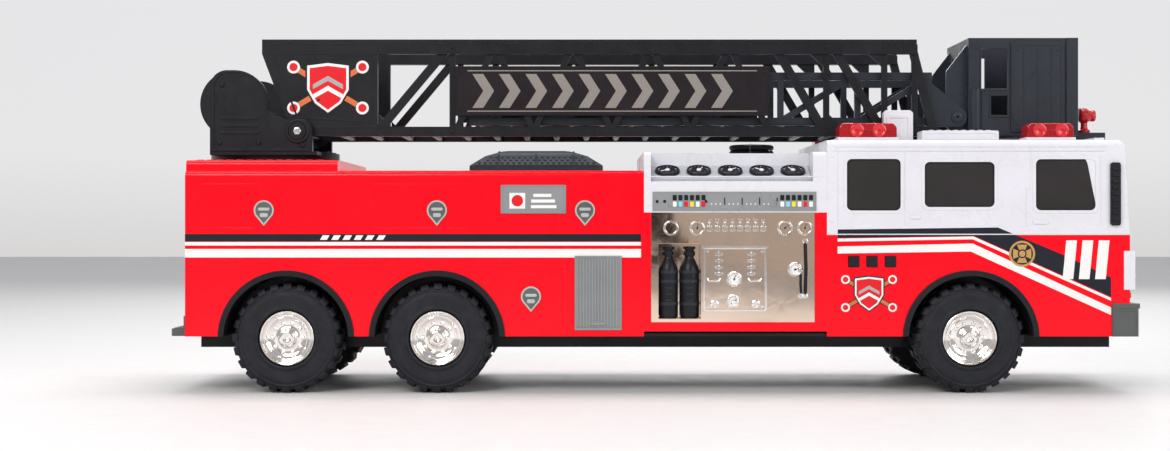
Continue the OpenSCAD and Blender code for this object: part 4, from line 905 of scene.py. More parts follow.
for x in (pack_x0 + 0.22 * length, pack_x0 + 0.5 * length, pack_x0 + 0.78 * length):
    tube(bm, [(x, -pack_y1 + 0.5, deck + 1), (x, -pack_y1 + 0.7, deck + 5), (x, -pack_y1 + 4.2, deck + 12.6),
              (x, -pack_y1 + 7.6, deck + 15.5), (x, -(pack_y0 + pack_y1) / 2, deck + 15.9),
              (x, -pack_y0 - 7.6, deck + 15.5), (x, -pack_y0 - 4.2, deck + 12.6),
              (x, -pack_y0 - 0.7, deck + 5), (x, -pack_y0 - 0.5, deck + 1)], 0.85, 10)
stud = [(0.0, 3.2), (2.4, 0.0), (0.0, -3.2), (-2.4, 0.0)]
for side in (0, 1):
    for row in range(3):
        for k in range(21):
            x = pack_x0 + 8 + 4.6 * k + (2.3 if row % 2 else 0)
            t = (row + 0.6) / 3
            z = deck + 5.6 + (12.2 - 5.6) * t
            reach = 1.4 + (12.0 - 1.4) * t + 3.5
            if not pack_x0 + reach < x < pack_x1 - reach:
                continue
            y = -(pack_y1 - 1.0 - 3.0 * t) if side == 0 else -(pack_y0 + 1.0 + 3.0 * t)
            s = -1 if side == 0 else 1
            normal = Vector((0, s * 0.91, 0.42))
            up = Vector((0, -s * 0.42, 0.91))
            centre = Vector((x, y, z))
            tip = bm.verts.new(centre + normal * 0.75)
            base = [bm.verts.new(centre - normal * 0.4 + Vector((a, 0, 0)) + up * (b * 0.5)) for a, b in stud]
            for i in range(4):
                bm.faces.new((base[i], base[(i + 1) % 4], tip))
            bm.faces.new(base[::-1])
for row in range(4):
    y = -pack_y0 - 10 - 2.7 * row
    tube(bm, [(pack_x0 + 30, y, deck + 16.1), (pack_x1 - 30, y, deck + 16.1)], 0.55, 8)
for side in (-pack_y1, -pack_y0):
    tube(bm, [(pack_x0 + 4, side, deck + 4.9), (pack_x1 - 4, side, deck + 4.9)], 0.7, 8)
piece("hose_pack_ribs", bm, SLATE, mirror=True)

# hose coil on the pump house
COIL = span("hose_coil")
centre, coil_r = (COIL[0] + COIL[1]) / 2, (COIL[1].x - COIL[0].x) / 2
hose_r = 2.35
path = []
for layer in range(2):
    for k in range(4 * 24 + 1):
        turn = k / 24
        ring = turn if layer == 0 else 3.98 - turn
        r = coil_r - hose_r - 0.15 - ring * 4.62 * 0.66
        a = math.tau * turn
        z = COIL[0].z + hose_r + 0.05 + layer * 4.55
        path.append((centre.x + r * math.cos(a), r * math.sin(a), z))
bm = bmesh.new()
tube(bm, path, hose_r, 12)
lathe(bm, [(0, 0), (5.2, 0), (5.2, 8.6), (4.4, 9.4), (0, 9.4)], (centre.x, 0, COIL[0].z), (0, 0, 1), 32)
piece("hose_coil_turns", bm, BLACK, slot="slate_plastic", replaces=["hose_coil"])
bm = bmesh.new()
for a in (0.4, 2.5, 4.6):
    out = Vector((math.cos(a), math.sin(a), 0))
    c = Vector((centre.x, 0, COIL[0].z))
    up = Vector((0, 0, 1))
    tube(bm, [c + out * 4 + up * 9.2, c + out * 9 + up * 9.45, c + out * 17.5 + up * 9.45,
              c + out * 19.4 + up * 8.0, c + out * 19.5 + up * 0.6], 0.5, 8)
piece("hose_coil_straps", bm, BUMPER, slot="slate_plastic")

# ---- cab ----

WINDOW_BOXES = [(CAB + 16, ROOF - 56.4, 42.9, 41.2), (CAB + 78.2, ROOF - 53.6, 55.8, 36),
                (CAB + 167.2, ROOF - 56.2, 47.6, 40.8)]
beads, seals = bmesh.new(), bmesh.new()
for x, z, w, h in WINDOW_BOXES:
    frame_plate(beads, rounded(x - 2.6, x + w + 2.6, z - 2.6, z + h + 2.6, 5.6, 8),
                rounded(x, x + w, z, z + h, 4, 8), *near_side(0.35, 0.3))
    frame_plate(seals, rounded(x + 0.05, x + w - 0.05, z + 0.05, z + h - 0.05, 4, 8),
                rounded(x + 1.1, x + w - 1.1, z + 1.1, z + h - 1.1, 3, 8), -HALF + 0.3, -HALF + 0.95)
piece("window_beads", beads, WHITE, bevel=0.25, mirror=True)
piece("window_seals", seals, BLACK, slot="dark_glazing", bevel=0.15, mirror=True)

bm = bmesh.new()
for x, z0, z1 in ((CAB + 62.4, 133.5, 198), (CAB + 159.2, 133.5, 164), (CAB + 163.0, 164, 198),
                  (CAB + 8.6, 133.5, 198), (CAB + 219.0, 134, 190)):
    block(bm, x - 0.35, x + 0.35, *near_side(0.22, 0.3), z0, z1)
block(bm, CAB + 159.2, CAB + 163.0, *near_side(0.22, 0.3), 163.7, 164.4)
for z, x1 in ((193.6, 222), (197.2, 224)):
    block(bm, CAB + 6, CAB + x1, *near_side(0.5, 0.3), z, z + 0.9)
prism(bm, rounded(CAB + 164.5, CAB + 177, 135.6, 138.8, 1.4), *near_side(0.9, 0.3))
prism(bm, rounded(CAB + 66, CAB + 75, 139.6, 142.4, 1.2), *near_side(0.8, 0.3))
for x, z in ((CAB + 4.0, 138), (CAB + 4.0, 190), (NOSE - 10, 134)):
    disc(bm, (x, -HALF + 0.2, z), 1.3, 0.6, steps=20, chamfer=0.2)
block(bm, CAB + 0.6, NOSE - 0.6, *near_side(0.22, 0.3), WAIST + 0.1, WAIST + 1.0)
fx, fz = CAB + 167.2 + 47.6, ROOF - 56.2
prism(bm, [(fx + 0.4, fz + 4), (fx + 0.4, fz + 41.2), (fx - 9.0, fz + 41.2), (fx - 7.6, fz + 40.2),
           (fx - 6.4, fz + 37.8)], -HALF + 0.1,
      -HALF + 0.9)
piece("cab_seams", bm, WHITE, bevel=0.12, mirror=True)

# roof: panel lines, ribs, vent slats, and the ladder cradle's ribs and pads
bm = bmesh.new()
for x in (CAB + 60, CAB + 150):
    block(bm, x - 0.5, x + 0.5, -60, 60, ROOF - 0.3, ROOF + 0.4)
for y in (-34, -12, 12, 34):
    block(bm, CAB + 8, NOSE - 32, y - 1.6, y + 1.6, ROOF - 0.3, ROOF + 0.7)
for y in (-88, 88):
    block(bm, CAB + 4, NOSE - 20, y - 0.6, y + 0.6, ROOF - 0.3, ROOF + 0.5)
piece("roof_ribs", bm, WHITE, bevel=0.3)
VENT = span("roof_vents")
bm = bmesh.new()
vx0, vent_z = VENT[0].x, VENT[1].z
for k in range(8):
    block(bm, vx0 + 6 + 6.6 * k, vx0 + 9.4 + 6.6 * k, -79.2, -58.8, vent_z - 0.5, vent_z + 0.5)
border(bm, (vx0 + 2, vx0 + 60, ROOF + 1.0, vent_z - 1.4), 1, 1, 0.6,
            -80.5, -79.8)
piece("roof_vent_slats", bm, WHITE, bevel=0.25, mirror=True)
POST = span("ladder_cradle")
bm = bmesh.new()
post_x = POST[0].x
for dx in (3.5, 20.5):
    block(bm, post_x + dx - 1, post_x + dx + 1, -62.8, -61.8, ROOF, ROOF + 21)
prism(bm, rounded(post_x + 4, post_x + 20, ROOF + 19.5, ROOF + 22.6, 1.2), -62.7, -61.8)
block(bm, post_x - 3, post_x + 27, -63.5, -52.5, ROOF - 0.3, ROOF + 1.2)
piece("cradle_ribs", bm, WHITE, bevel=0.3, mirror=True)
bm = bmesh.new()
block(bm, post_x + 1.5, post_x + 22.5, -61, -55, POST[1].z - 0.8, POST[1].z + 0.9)
piece("cradle_pads", bm, WHITE, bevel=0.6, mirror=True)

# light pods: ribbed red lenses on white bases
PODS = span("light_pods")
pod_y0, pod_y1, pod_z1 = 64.0, PODS[1].y, PODS[1].z
lenses, ribs, bases, glints = bmesh.new(), bmesh.new(), bmesh.new(), bmesh.new()
for x0, x1 in ((CAB + 10.7, CAB + 58.1), (CAB + 162.2, CAB + 200.8)):
    profile = [(x0 + 0.4, ROOF + 2.2), (x1 - 0.4, ROOF + 2.2), (x1 - 0.4, pod_z1 - 3.4),
               (x1 - 3.2, pod_z1 - 0.3), (x0 + 3.2, pod_z1 - 0.3), (x0 + 0.4, pod_z1 - 3.4)]
    prism(lenses, profile, -pod_y1 + 0.4, -pod_y0 - 0.4)
    block(bases, x0 - 0.8, x1 + 0.8, -pod_y1 - 0.8, -pod_y0 + 0.8, ROOF - 0.3, ROOF + 2.6)
    for k in range(int((x1 - x0 - 8) / 3.4)):
        x = x0 + 5 + 3.4 * k
        block(ribs, x, x + 0.9, -pod_y1 - 0.05, -pod_y1 + 0.8, ROOF + 4.6, pod_z1 - 5.2)
        block(ribs, x, x + 0.9, -pod_y1 + 4, -pod_y0 - 4, pod_z1 - 0.8, pod_z1)
    block(ribs, x0 + 2, x1 - 2, -pod_y1 - 0.1, -pod_y1 + 0.8, ROOF + 8.0, ROOF + 9.0)
    for s in (-9, 9):
        lathe(glints, [(0, 0), (5.2, 0), (5.6, 0.3), (5.6, 0.8), (4.4, 1.1), (3.2, 0.5), (0, 0.4)],
              ((x0 + x1) / 2 + s, -pod_y1 + 0.35, ROOF + 8.4), steps=32)
piece("pod_lenses", lenses, RED_LENS, bevel=1.2, segments=3, replaces=["light_pods"], mirror=True)
piece("pod_ribs", ribs, RED_LENS, bevel=0.2, mirror=True)
piece("pod_rings", glints, RED_TRIM, slot="red_lens", mirror=True)
piece("pod_bases", bases, WHITE, bevel=0.5, mirror=True)

# front: windscreen seal and wipers, grille, lamps, bumper
LEAN = math.atan2(4, ROOF - WAIST - 4)
nose = Matrix.Translation((NOSE, 0, WAIST)) @ Matrix.Rotation(-LEAN, 4,
                                                              "Y") @ Matrix.Translation((0, 0, -WAIST))
FACING = Matrix.Rotation(math.radians(90), 4, "Z")  # turns a plate drawn in x and z to face +X


def on_nose(bm, lean=True):
    """Moves shapes drawn with x across the front (as y) and -y out of it on to the cab's front."""
    bmesh.ops.transform(bm, matrix=(nose if lean else Matrix.Translation((NOSE, 0, 0))) @ FACING,
                        verts=bm.verts[:])


sw, s0, s1 = HALF - 18, WAIST + 12, ROOF - 14
bm = bmesh.new()
frame_plate(bm, rounded(-sw - 2.4, sw + 2.4, s0 - 2.4, s1 + 2.4, 6, 8), rounded(-sw, sw, s0, s1, 4, 8),
            -0.6, 0.3)
block(bm, -1.4, 1.4, -0.5, 1.2, s0 + 0.5, s1 - 0.5)
for z in (WAIST + 4, WAIST + 7.5):
    block(bm, -sw + 6, sw - 6, -0.5, 0.3, z, z + 1)
on_nose(bm)
piece("screen_frame", bm, WHITE, bevel=0.3)
bm = bmesh.new()
for s in (-1, 1):
    pivot = Vector((s * 14, -1.4, s0 - 1.2))
    tip = Vector((s * 52, -1.0, s0 + 33))
    tube(bm, [pivot, pivot + (tip - pivot) * 0.5 + Vector((0, -0.6, 0)), tip], 0.9, 8)
    along = Vector((0.18 * s, 0, 1)).normalized()
    tube(bm, [tip - along * 19, tip - along * 8 + Vector((0, 0.3, 0)),
              tip + along * 8 + Vector((0, 0.3, 0)), tip + along * 15],
         0.7, 8)
    lathe(bm, [(0, -1.6), (2.6, -1.6), (2.6, 0.6), (1.8, 1.2), (0, 1.2)], pivot, steps=24)
on_nose(bm)
piece("wipers", bm, BLACK)
GRILLE = span("front_grille")
gz0, gz1, gw = GRILLE[0].z, GRILLE[1].z, GRILLE[1].y
bm = bmesh.new()
border(bm, (-gw - 2, gw + 2, gz0 - 2, gz1 + 2), 3, 2.6, 2, -4.2, -0.2)
for k in range(-5, 6):
    block(bm, k * 7.8 - 0.5, k * 7.8 + 0.5, -3.4, -1.0, gz0 + 0.5, gz1 - 0.5)
prism(bm, shield(0, (gz0 + gz1) / 2, 9, 10), -4.6, -2.6)
on_nose(bm, False)
piece("grille_frame", bm, CHROME, bevel=0.4)
bm = bmesh.new()
prism(bm, shield(0, (gz0 + gz1) / 2, 7.4, 8.4), -4.9, -4.2)
on_nose(bm, False)
piece("grille_badge", bm, RED_TRIM, bevel=0.2)
LAMPS = span("headlights")
lamp_z = (LAMPS[0].z + LAMPS[1].z) / 2
rings, bulbs, flutes, amber = bmesh.new(), bmesh.new(), bmesh.new(), bmesh.new()
for s in (-1, 1):
    for k in range(2):
        y = s * (HALF - 11 - 20 * k)
        lathe(rings, [(9.3, 3.6), (9.3, 4.5), (8.9, 4.9), (8.4, 4.6), (8.4, 3.6)], (y, 0, lamp_z),
              steps=48, loop=True)
        lathe(bulbs, [(0, 0.6), (7.6, 0.6), (7.6, 1.6), (5.0, 1.0), (2.6, 0.9), (2.2, 2.6), (0, 3.2)],
              (y, 0, lamp_z), steps=40)
        for t in range(-3, 4):
            reach = math.sqrt(max(1.0, 4.7 ** 2 - (t * 1.3) ** 2))
            tube(flutes, [(y + t * 1.3, -5.0, lamp_z - reach), (y + t * 1.3, -5.0, lamp_z + reach)], 0.28, 6)
    prism(amber, rounded(s * (HALF - 21) - 17, s * (HALF - 21) + 17, 76.0, 81.0, 1.5), -2.4, 0.2)
for part in (rings, bulbs, flutes, amber):
    on_nose(part, False)
piece("lamp_rings", rings, CHROME)
piece("lamp_reflectors", bulbs, CHROME)
piece("lamp_flutes", flutes, CLEAR)
piece("front_indicators", amber, AMBER, slot="clear_lens", bevel=0.5)
BEZEL = span("headlight_bezels")
bm = bmesh.new()
for s in (-1, 1):
    x0, x1 = sorted((s * (HALF - 41.4), s * (HALF - 0.6)))
    border(bm, (x0, x1, BEZEL[0].z + 0.6, BEZEL[1].z - 0.6), 2, 1.4, 1.4,
                -4.6, -3.8)
on_nose(bm, False)
piece("bezel_rims", bm, WHITE, bevel=0.25)
bm = bmesh.new()
for k in range(-8, 9):
    block(bm, k * 10.6 - 3.6, k * 10.6 + 3.6, -7.1, -6.0, BODY_Z + 23.2, BODY_Z + 25.6)
for s in (-1, 1):
    border(bm, (s * 62 - 15, s * 62 + 15, BODY_Z + 4, BODY_Z + 18), 2, 2, 1.5,
                -7.4, -6)
    tube(bm, [(s * 30 - 4, -6.2, BODY_Z + 8), (s * 30 - 4, -7.2, BODY_Z + 11),
              (s * 30 + 4, -7.2, BODY_Z + 11), (s * 30 + 4, -6.2, BODY_Z + 8)], 0.7, 8)
border(bm, (-20, 20, BODY_Z + 5, BODY_Z + 17), 1.5, 1.4, 1, -7.3, -6)
on_nose(bm, False)
piece("bumper_front_details", bm, BUMPER, bevel=0.3)
bm = bmesh.new()
bx0, bx1 = NOSE - 14.4, NOSE + 6.5
frame_plate(bm, rounded(bx0 + 0.5, bx1 - 0.5, BODY_Z + 0.6, BODY_Z + 21.6, 1.2),
            rounded(bx0 + 2, bx1 - 2, BODY_Z + 2, BODY_Z + 20.2, 1), -HALF - 1.55, -HALF - 0.9)
block(bm, bx0, NOSE + 7.6, -HALF - 1.5, -HALF - 0.6, BODY_Z + 22.6, BODY_Z + 26.2)
piece("bumper_side_details", bm, BUMPER, bevel=0.25, mirror=True)

# ---- ladder ----

hx, hz = HINGE.x, HINGE.z
LAD_Y = 50.0
BOTTOM_Z, TOP_Z, TOP_RAIL = hz - 4, LAD[1].z, 12
TAIL_X, BASE_X, TOP_END, LOW_END = hx - 30.7, hx + 64.7, hx + 510, hx + 528
bm = bmesh.new()
x = BASE_X
while x < TOP_END:
    block(bm, x - 0.8, x + 0.8, *near_side(0.35, 0.4, LAD_Y), TOP_Z - TOP_RAIL + 0.6, TOP_Z - 2.6)
    x += 25.6
x = hx + 14
while x < LOW_END - 6:
    block(bm, x - 0.8, x + 0.8, *near_side(0.3, 0.4, LAD_Y), BOTTOM_Z + 0.4, BOTTOM_Z + 7.6)
    x += 25.6
prism(bm, [(TAIL_X + 2, TOP_Z - 3.6), (TOP_END - 0.5, TOP_Z - 3.6), (TOP_END - 0.5, TOP_Z - 3.0),
           (TAIL_X + 2, TOP_Z - 3.0)], -LAD_Y - 0.4,
      -LAD_Y + 0.8)
block(bm, TAIL_X + 6, TOP_END - 4, *near_side(0.25, 0.6, LAD_Y), TOP_Z - TOP_RAIL - 0.2,
      TOP_Z - TOP_RAIL + 0.8)
block(bm, hx + 10, LOW_END - 1, *near_side(0.3, 0.8, LAD_Y), BOTTOM_Z + 7.0, BOTTOM_Z + 8.0)
block(bm, hx + 10, LOW_END - 1, *near_side(0.3, 0.8, LAD_Y), BOTTOM_Z + 0.05, BOTTOM_Z + 1.0)
piece("rail_beads", bm, BLACK, "ladder", bevel=0.15, mirror=True)

bm = bmesh.new()
sign_x0, sign_x1 = span("sign_plates")[0].x, span("sign_plates")[1].x
sign_z0, sign_z1 = span("sign_plates")[0].z, span("sign_plates")[1].z
posts = [sign_x0 - 2.5, sign_x1 + 47.5, sign_x1 + 95.5, TOP_END - 1.5]
for x in posts:
    for z in (BOTTOM_Z + 4, TOP_Z - TOP_RAIL / 2):
        disc(bm, (x, -LAD_Y + 0.2, z), 1.9, 0.8, steps=18, chamfer=0.3)
    block(bm, x - 0.5, x + 0.5, -49.0, -48.0, BOTTOM_Z + 8, TOP_Z - TOP_RAIL)
for x, z in ((hx + 0.5, TOP_Z - 16), (hx + 46, TOP_Z - 16), (hx + 52, BOTTOM_Z + 14),
             (hx + 10, BOTTOM_Z + 30)):
    disc(bm, (x + 6, -LAD_Y + 0.2, z), 1.3, 0.6, steps=16, chamfer=0.2)
corner = [(hx - 2, BOTTOM_Z + 15), (BASE_X - 3.5, BOTTOM_Z + 11), (BASE_X - 3.5, TOP_Z - 11),
          (TAIL_X + 8, TOP_Z - 11)]
inner = [(hx - 0.6, BOTTOM_Z + 16.2), (BASE_X - 4.8, BOTTOM_Z + 12.4), (BASE_X - 4.8, TOP_Z - 12.2),
         (TAIL_X + 9.6, TOP_Z - 12.2)]
frame_plate(bm, corner, inner, *near_side(0.3, 0.3, LAD_Y))
lathe(bm, [(7.2, 0), (10.0, 0), (10.0, 0.9), (9.2, 1.3), (7.9, 1.3), (7.2, 0.9)], (hx, -LAD_Y + 0.2, hz),
      steps=40, loop=True)
for x in (BASE_X + 1.0, sign_x1 + 49.8, sign_x1 + 98):
    prism(bm, [(x, BOTTOM_Z + 7.5), (x + 11, BOTTOM_Z + 7.5), (x, BOTTOM_Z + 18)], -48.9, -45.4)
    prism(bm, [(x - 5, TOP_Z - 11.5), (x - 16, TOP_Z - 11.5), (x - 5, TOP_Z - 22)], -48.9, -45.4)
piece("ladder_rivets", bm, BLACK, "ladder", bevel=0.12, mirror=True)

bm = bmesh.new()
border(bm, (sign_x0 + 0.2, sign_x1 - 0.2, sign_z0 + 0.2, sign_z1 - 0.2), 1.0, 1.4, 0.8,
       *near_side(0.4, 0.3, LAD_Y))
for z in (sign_z0 + 5, sign_z1 - 5):
    for x in (sign_x0 + 4.5, sign_x1 - 4.5):
        disc(bm, (x, -LAD_Y + 0.1, z), 1.3, 0.6, steps=16, chamfer=0.2)
piece("sign_rims", bm, SIGN, "ladder", "sign", bevel=0.15, mirror=True)
arrows = []
step = (sign_x1 - sign_x0 - 40) / 10
for k in range(10):
    x = sign_x0 + 14 + step * k
    za, zb, zm = sign_z0 + 6.5, sign_z1 - 6.5, (sign_z0 + sign_z1) / 2
    arrows.append([(x, za), (x + 9, za), (x + 18, zm), (x + 9, zb), (x, zb), (x + 9, zm)])
decal("sign_chevrons", arrows, INK_SIGN, LAD_Y, "ladder", "sign", SKIN + 0.1)
decal("sign_lines", [bar(sign_x0 + 10, sign_x1 - 10, z, z + 0.9) for z in (sign_z0 + 3.4, sign_z1 - 4.3)],
      INK_SIGN, LAD_Y, "ladder", "sign", SKIN)
badge("ladder_badge", hx + 23.8, hz + 36.3, 1.48, LAD_Y, "ladder", "black_plastic")

bm = bmesh.new()
x = hx + 64.7 / 2
while x < LOW_END - 12:
    for s in (-1, 1):
        for y in (43.2, 38.6):
            lathe(bm, [(2.7, -0.5), (3.5, -0.5), (3.5, 0.5), (2.7, 0.5)], (x, s * y, hz - 0.6), (0, 1, 0),
                  20, loop=True)
    for k in range(6):
        a = math.tau * k / 6
        rx, rz = x + 2.75 * math.cos(a), hz - 0.6 + 2.75 * math.sin(a)
        tube(bm, [(rx, -36, rz), (rx, 36, rz)], 0.32, 6)
    x += 25.6
piece("rung_grips", bm, BLACK, "ladder")

FLY = span("fly_sides")
fly_z0, fly_z1 = hz + 5.5, hz + 49.5
bm = bmesh.new()
for z in (fly_z0 + 0.5, fly_z0 + 5.6, fly_z1 - 6.1, fly_z1 - 1.0):
    block(bm, FLY[0].x + 0.5, hx + 523.5, -42.25, -41.6, z, z + 0.6)
x = FLY[0].x + 8
while x < hx + 515:
    disc(bm, (x, -41.9, fly_z1 - 3.2), 1.3, 0.5, steps=14, chamfer=0.15)
    x += 25.6
piece("fly_beads", bm, SLATE, "extension", bevel=0.12, mirror=True)
bm = bmesh.new()
px, _, pz = sum(span("bucket_pin"), Vector()) / 2
lathe(bm, [(0, 0), (4.4, 0), (4.4, 0.6), (3.4, 1.0), (1.6, 1.0), (1.2, 0.5), (0, 0.5)],
      (px, span("bucket_pin")[0].y + 0.5, pz), steps=6)
piece("bucket_pin_heads", bm, SLATE, "extension", "steel", bevel=0.3, mirror=True)

# ---- turntable ----

DISC = span("turntable")
slew, disc_top = DISC[0].x + 54, span("rear_body")[1].z + 8.3
CHEEK_Y = 58.0
bm = bmesh.new()
for k in range(12):
    a = math.tau * (k + 0.5) / 12
    if abs(48 * math.sin(a)) > 47 or abs(48 * math.sin(a)) < 44:
        lathe(bm, [(0, -0.3), (2.4, -0.3), (2.4, 1.2), (1.8, 1.7), (0, 1.7)],
              (slew + 49 * math.cos(a), 49 * math.sin(a), disc_top), (0, 0, 1), 6)
for r in (50.2, 31, 20):
    lathe(bm, [(r, -0.3), (r + 1.2, -0.3), (r + 1.2, 0.7), (r, 0.7)], (slew, 0, disc_top), (0, 0, 1), 72,
          loop=True)
for k in range(72):
    a = math.tau * k / 72
    out, side = Vector((math.cos(a), math.sin(a), 0)), Vector((-math.sin(a), math.cos(a), 0))
    c = Vector((slew, 0, disc_top))
    tube(bm, [c + out * 53.55 + Vector((0, 0, -1.2)), c + out * 53.55 + Vector((0, 0, -6.4))], 0.42, 6)
piece("turntable_deck", bm, BLACK, "turntable", bevel=0.12)

back, front, top = slew - 44, slew + 4, hz + 50
cheek = [(back + 1, disc_top)] + arc(back + 14, top - 14, 13, 180, 90, 8)
cheek += arc(front - 28, top - 28, 27, 90, 0, 12)
cheek += [(front - 1, hz + 15.5)] + arc(hx, hz, 11, 60, 0, 6) + [(hx + 11, disc_top)]
cx = sum(p[0] for p in cheek) / len(cheek)
cz = sum(p[1] for p in cheek) / len(cheek)
inset = [(cx + (x - cx) * 0.93, cz + (z - cz) * 0.95) for x, z in cheek]
bm = bmesh.new()
frame_plate(bm, cheek, inset, *near_side(0.7, 0.3, CHEEK_Y))
for x, z in ((back + 8, disc_top + 7), (front - 8, disc_top + 7), (hx + 4, disc_top + 5),
             (back + 10, top - 12)):
    lathe(bm, [(0, 0), (2.2, 0), (2.2, 1.0), (1.6, 1.5), (0, 1.5)], (x, -CHEEK_Y + 0.2, z), steps=6)
for z in (disc_top + 14, disc_top + 20, disc_top + 26):
    prism(bm, rounded(back + 8, front - 8, z, z + 2.6, 1.2), *near_side(0.7, 0.3, CHEEK_Y))
lathe(bm, [(7.4, 0), (10.2, 0), (10.2, 1.4), (9.4, 2.0), (7.4, 2.0)], (hx, -CHEEK_Y + 0.2, hz), steps=48,
      loop=True)
piece("cheek_details", bm, BLACK, "turntable", bevel=0.2, mirror=True)
bm = bmesh.new()
lathe(bm, [(0, 0), (3.4, 0), (3.4, 0.8), (2.6, 1.2), (1.5, 1.2), (1.5, 0.4), (0, 0.4)],
      (hx, span("ladder_pin")[0].y + 0.3, hz), steps=6)
piece("hinge_bolts", bm, STEEL, "turntable", mirror=True)

# ---- bucket and nozzle ----

b1 = BUCKET[1]
tub_x, tub_top, tub_low = px + 8.6, b1.z, b1.z - 81
TUB_Y = 43.0
bm = bmesh.new()
rim = [(tub_x + 1.3, -TUB_Y + 1.3), (tub_x + 84.7, -TUB_Y + 1.3), (tub_x + 84.7, TUB_Y - 1.3),
       (tub_x + 1.3, TUB_Y - 1.3)]
soft = []
for i, (x, y) in enumerate(rim):
    for t in (0.04, 0.5, 0.96):
        nx, ny = rim[(i + 1) % 4]
        soft.append((x + (nx - x) * t, y + (ny - y) * t, tub_top - 1.05))
tube(bm, soft, 1.0, 12, closed=True)
for s in (-1, 1):
    y0, y1 = (-TUB_Y - 1.9, -TUB_Y - 1.2) if s < 0 else (TUB_Y + 1.2, TUB_Y + 1.9)
    border(bm, (tub_x + 36.5, tub_x + 77.5, tub_low + 5, tub_top - 5), 2, 1.5, 1.4, y0, y1)
    for dx in (45.5, 57, 68.5):
        block(bm, tub_x + dx - 0.4, tub_x + dx + 0.4, y0 + 0.1, y1 - 0.1, tub_low + 8, tub_top - 8)
    ya, yb = (-TUB_Y - 0.6, -TUB_Y + 0.2) if s < 0 else (TUB_Y - 0.2, TUB_Y + 0.6)
    for wx0, wx1, wz0, wz1 in ((tub_x + 10.6, tub_x + 32.6, tub_top - 42, tub_top - 9),
                               (tub_x + 18.6, tub_x + 32.6, tub_top - 64, tub_top - 48)):
        frame_plate(bm, [(wx0 - 1.2, wz0 - 1.2), (wx1 + 1.2, wz0 - 1.2), (wx1 + 1.2, wz1 + 1.2),
                         (wx0 - 1.2, wz1 + 1.2)],
                    [(wx0, wz0), (wx1, wz0), (wx1, wz1), (wx0, wz1)], ya, yb)
        block(bm, wx0 - 1.4, wx1 + 1.4, ya - 0.3 if s < 0 else ya, yb if s < 0 else yb + 0.3, wz0 - 1.8,
              wz0 - 0.2)
    for z in (tub_low + 10, tub_top - 10):
        for x in (tub_x + 40.5, tub_x + 73.5):
            disc(bm, (x, s * (TUB_Y + 1.4), z), 1.2, 0.6, (0, s, 0), 16, 0.2)
for k in range(7):
    block(bm, tub_x + 8 + 10.4 * k, tub_x + 13 + 10.4 * k, -36, 36, tub_low + 2.8, tub_low + 3.7)
for y in (-26, 0, 26):
    block(bm, tub_x + 85.6, tub_x + 87.2, y - 9, y + 9, tub_low + 14, tub_top - 14)
    block(bm, tub_x - 0.9, tub_x + 0.3, y - 9, y + 9, tub_low + 34, tub_top - 12)
piece("bucket_details", bm, SLATE, "bucket", bevel=0.2)
bm = bmesh.new()
for y in (-30, 30):
    tube(bm, [(tub_x + 82, y * 0.9, tub_top - 12), (tub_x + 76, y * 0.9, tub_top - 8),
              (tub_x + 76, y * 0.9, tub_top - 26), (tub_x + 82, y * 0.9, tub_top - 30)], 1.1, 10)
tube(bm, [(tub_x + 3, -30, tub_top - 16), (tub_x + 8, -30, tub_top - 12), (tub_x + 8, 30, tub_top - 12),
          (tub_x + 3, 30, tub_top - 16)],
     1.2, 10)
piece("bucket_rails", bm, BUMPER, "bucket", "slate_plastic")

nx, nz = tub_x + 86 + 22, NOZZLE[1].z - 6.6
bm = bmesh.new()
foot = tub_low + 4
lathe(bm, [(0, -4.5), (3.3, -4.5), (5.4, -3.9), (6.5, -2.4), (6.6, 0.4), (6.2, 2.2), (5.2, 3.4),
           (4.6, 5.2), (4.9, 5.8), (4.9, 8.2), (4.5, 9.0), (3.8, 9.0), (3.4, 7.6), (0, 7.2)], (nx, 0, nz),
           (1, 0, 0), 40)
lathe(bm, [(0, NOZZLE[0].z - foot), (2.95, NOZZLE[0].z - foot), (2.95, 0.4), (5.0, 0.6), (5.0, 2.6),
           (3.4, 3.6), (2.8, 5.4), (2.8, nz - foot - 5.0), (0, nz - foot - 5.0)], (nx, 0, foot), (0, 0, 1),
           32)
tube(bm, [(nx - 3.5, -3.6, nz + 4.6), (nx - 4.2, -3.6, nz + 6.0), (nx - 4.2, 3.6, nz + 6.0),
          (nx - 3.5, 3.6, nz + 4.6)], 0.6, 8)
piece("nozzle_body", bm, RED_TRIM, "nozzle", replaces=["nozzle"])
bm = bmesh.new()
for h in (-1.6, -0.4, 0.8):
    lathe(bm, [(6.3, h), (6.85, h), (6.85, h + 0.6), (6.3, h + 0.6)], (nx, 0, nz), (1, 0, 0), 40, loop=True)
piece("nozzle_bands", bm, RED_TRIM, "nozzle")

# ---- deck, rear end and underside ----

bm = bmesh.new()
PLAT_X = REAR + 121.6
for k in range(14):
    y = -52 + 8 * k
    block(bm, PLAT_X + 6, pack_x0 - 6, y - 0.9, y + 0.9, deck - 0.3, deck + 0.7)
for k in range(9):
    y = -44 + 11 * k
    block(bm, pack_x0 + 4, PUMP - 8, y - 1.2, y + 1.2, deck - 0.3, deck + 0.8)
for x0, x1, y0, y1 in ((REAR + 6, REAR + 116, -84, -62), (PLAT_X + 6, pack_x0 - 8, -86, -64)):
    z = span("rear_body")[1].z if x1 < PLAT_X else deck
    for x in range(int(x0), int(x1) - 6, 8):
        block(bm, x, x + 5, y0, y1, z - 0.3, z + 0.6)
        block(bm, x, x + 5, -y1, -y0, z - 0.3, z + 0.6)
for s in (-1, 1):
    tube(bm, [(PLAT_X + 2, s * (HALF - 2.4), deck - 0.6), (PUMP - 2, s * (HALF - 2.4), deck - 0.6)], 1.1, 10)
piece("deck_treads", bm, RED, bevel=0.25)

bm = bmesh.new()
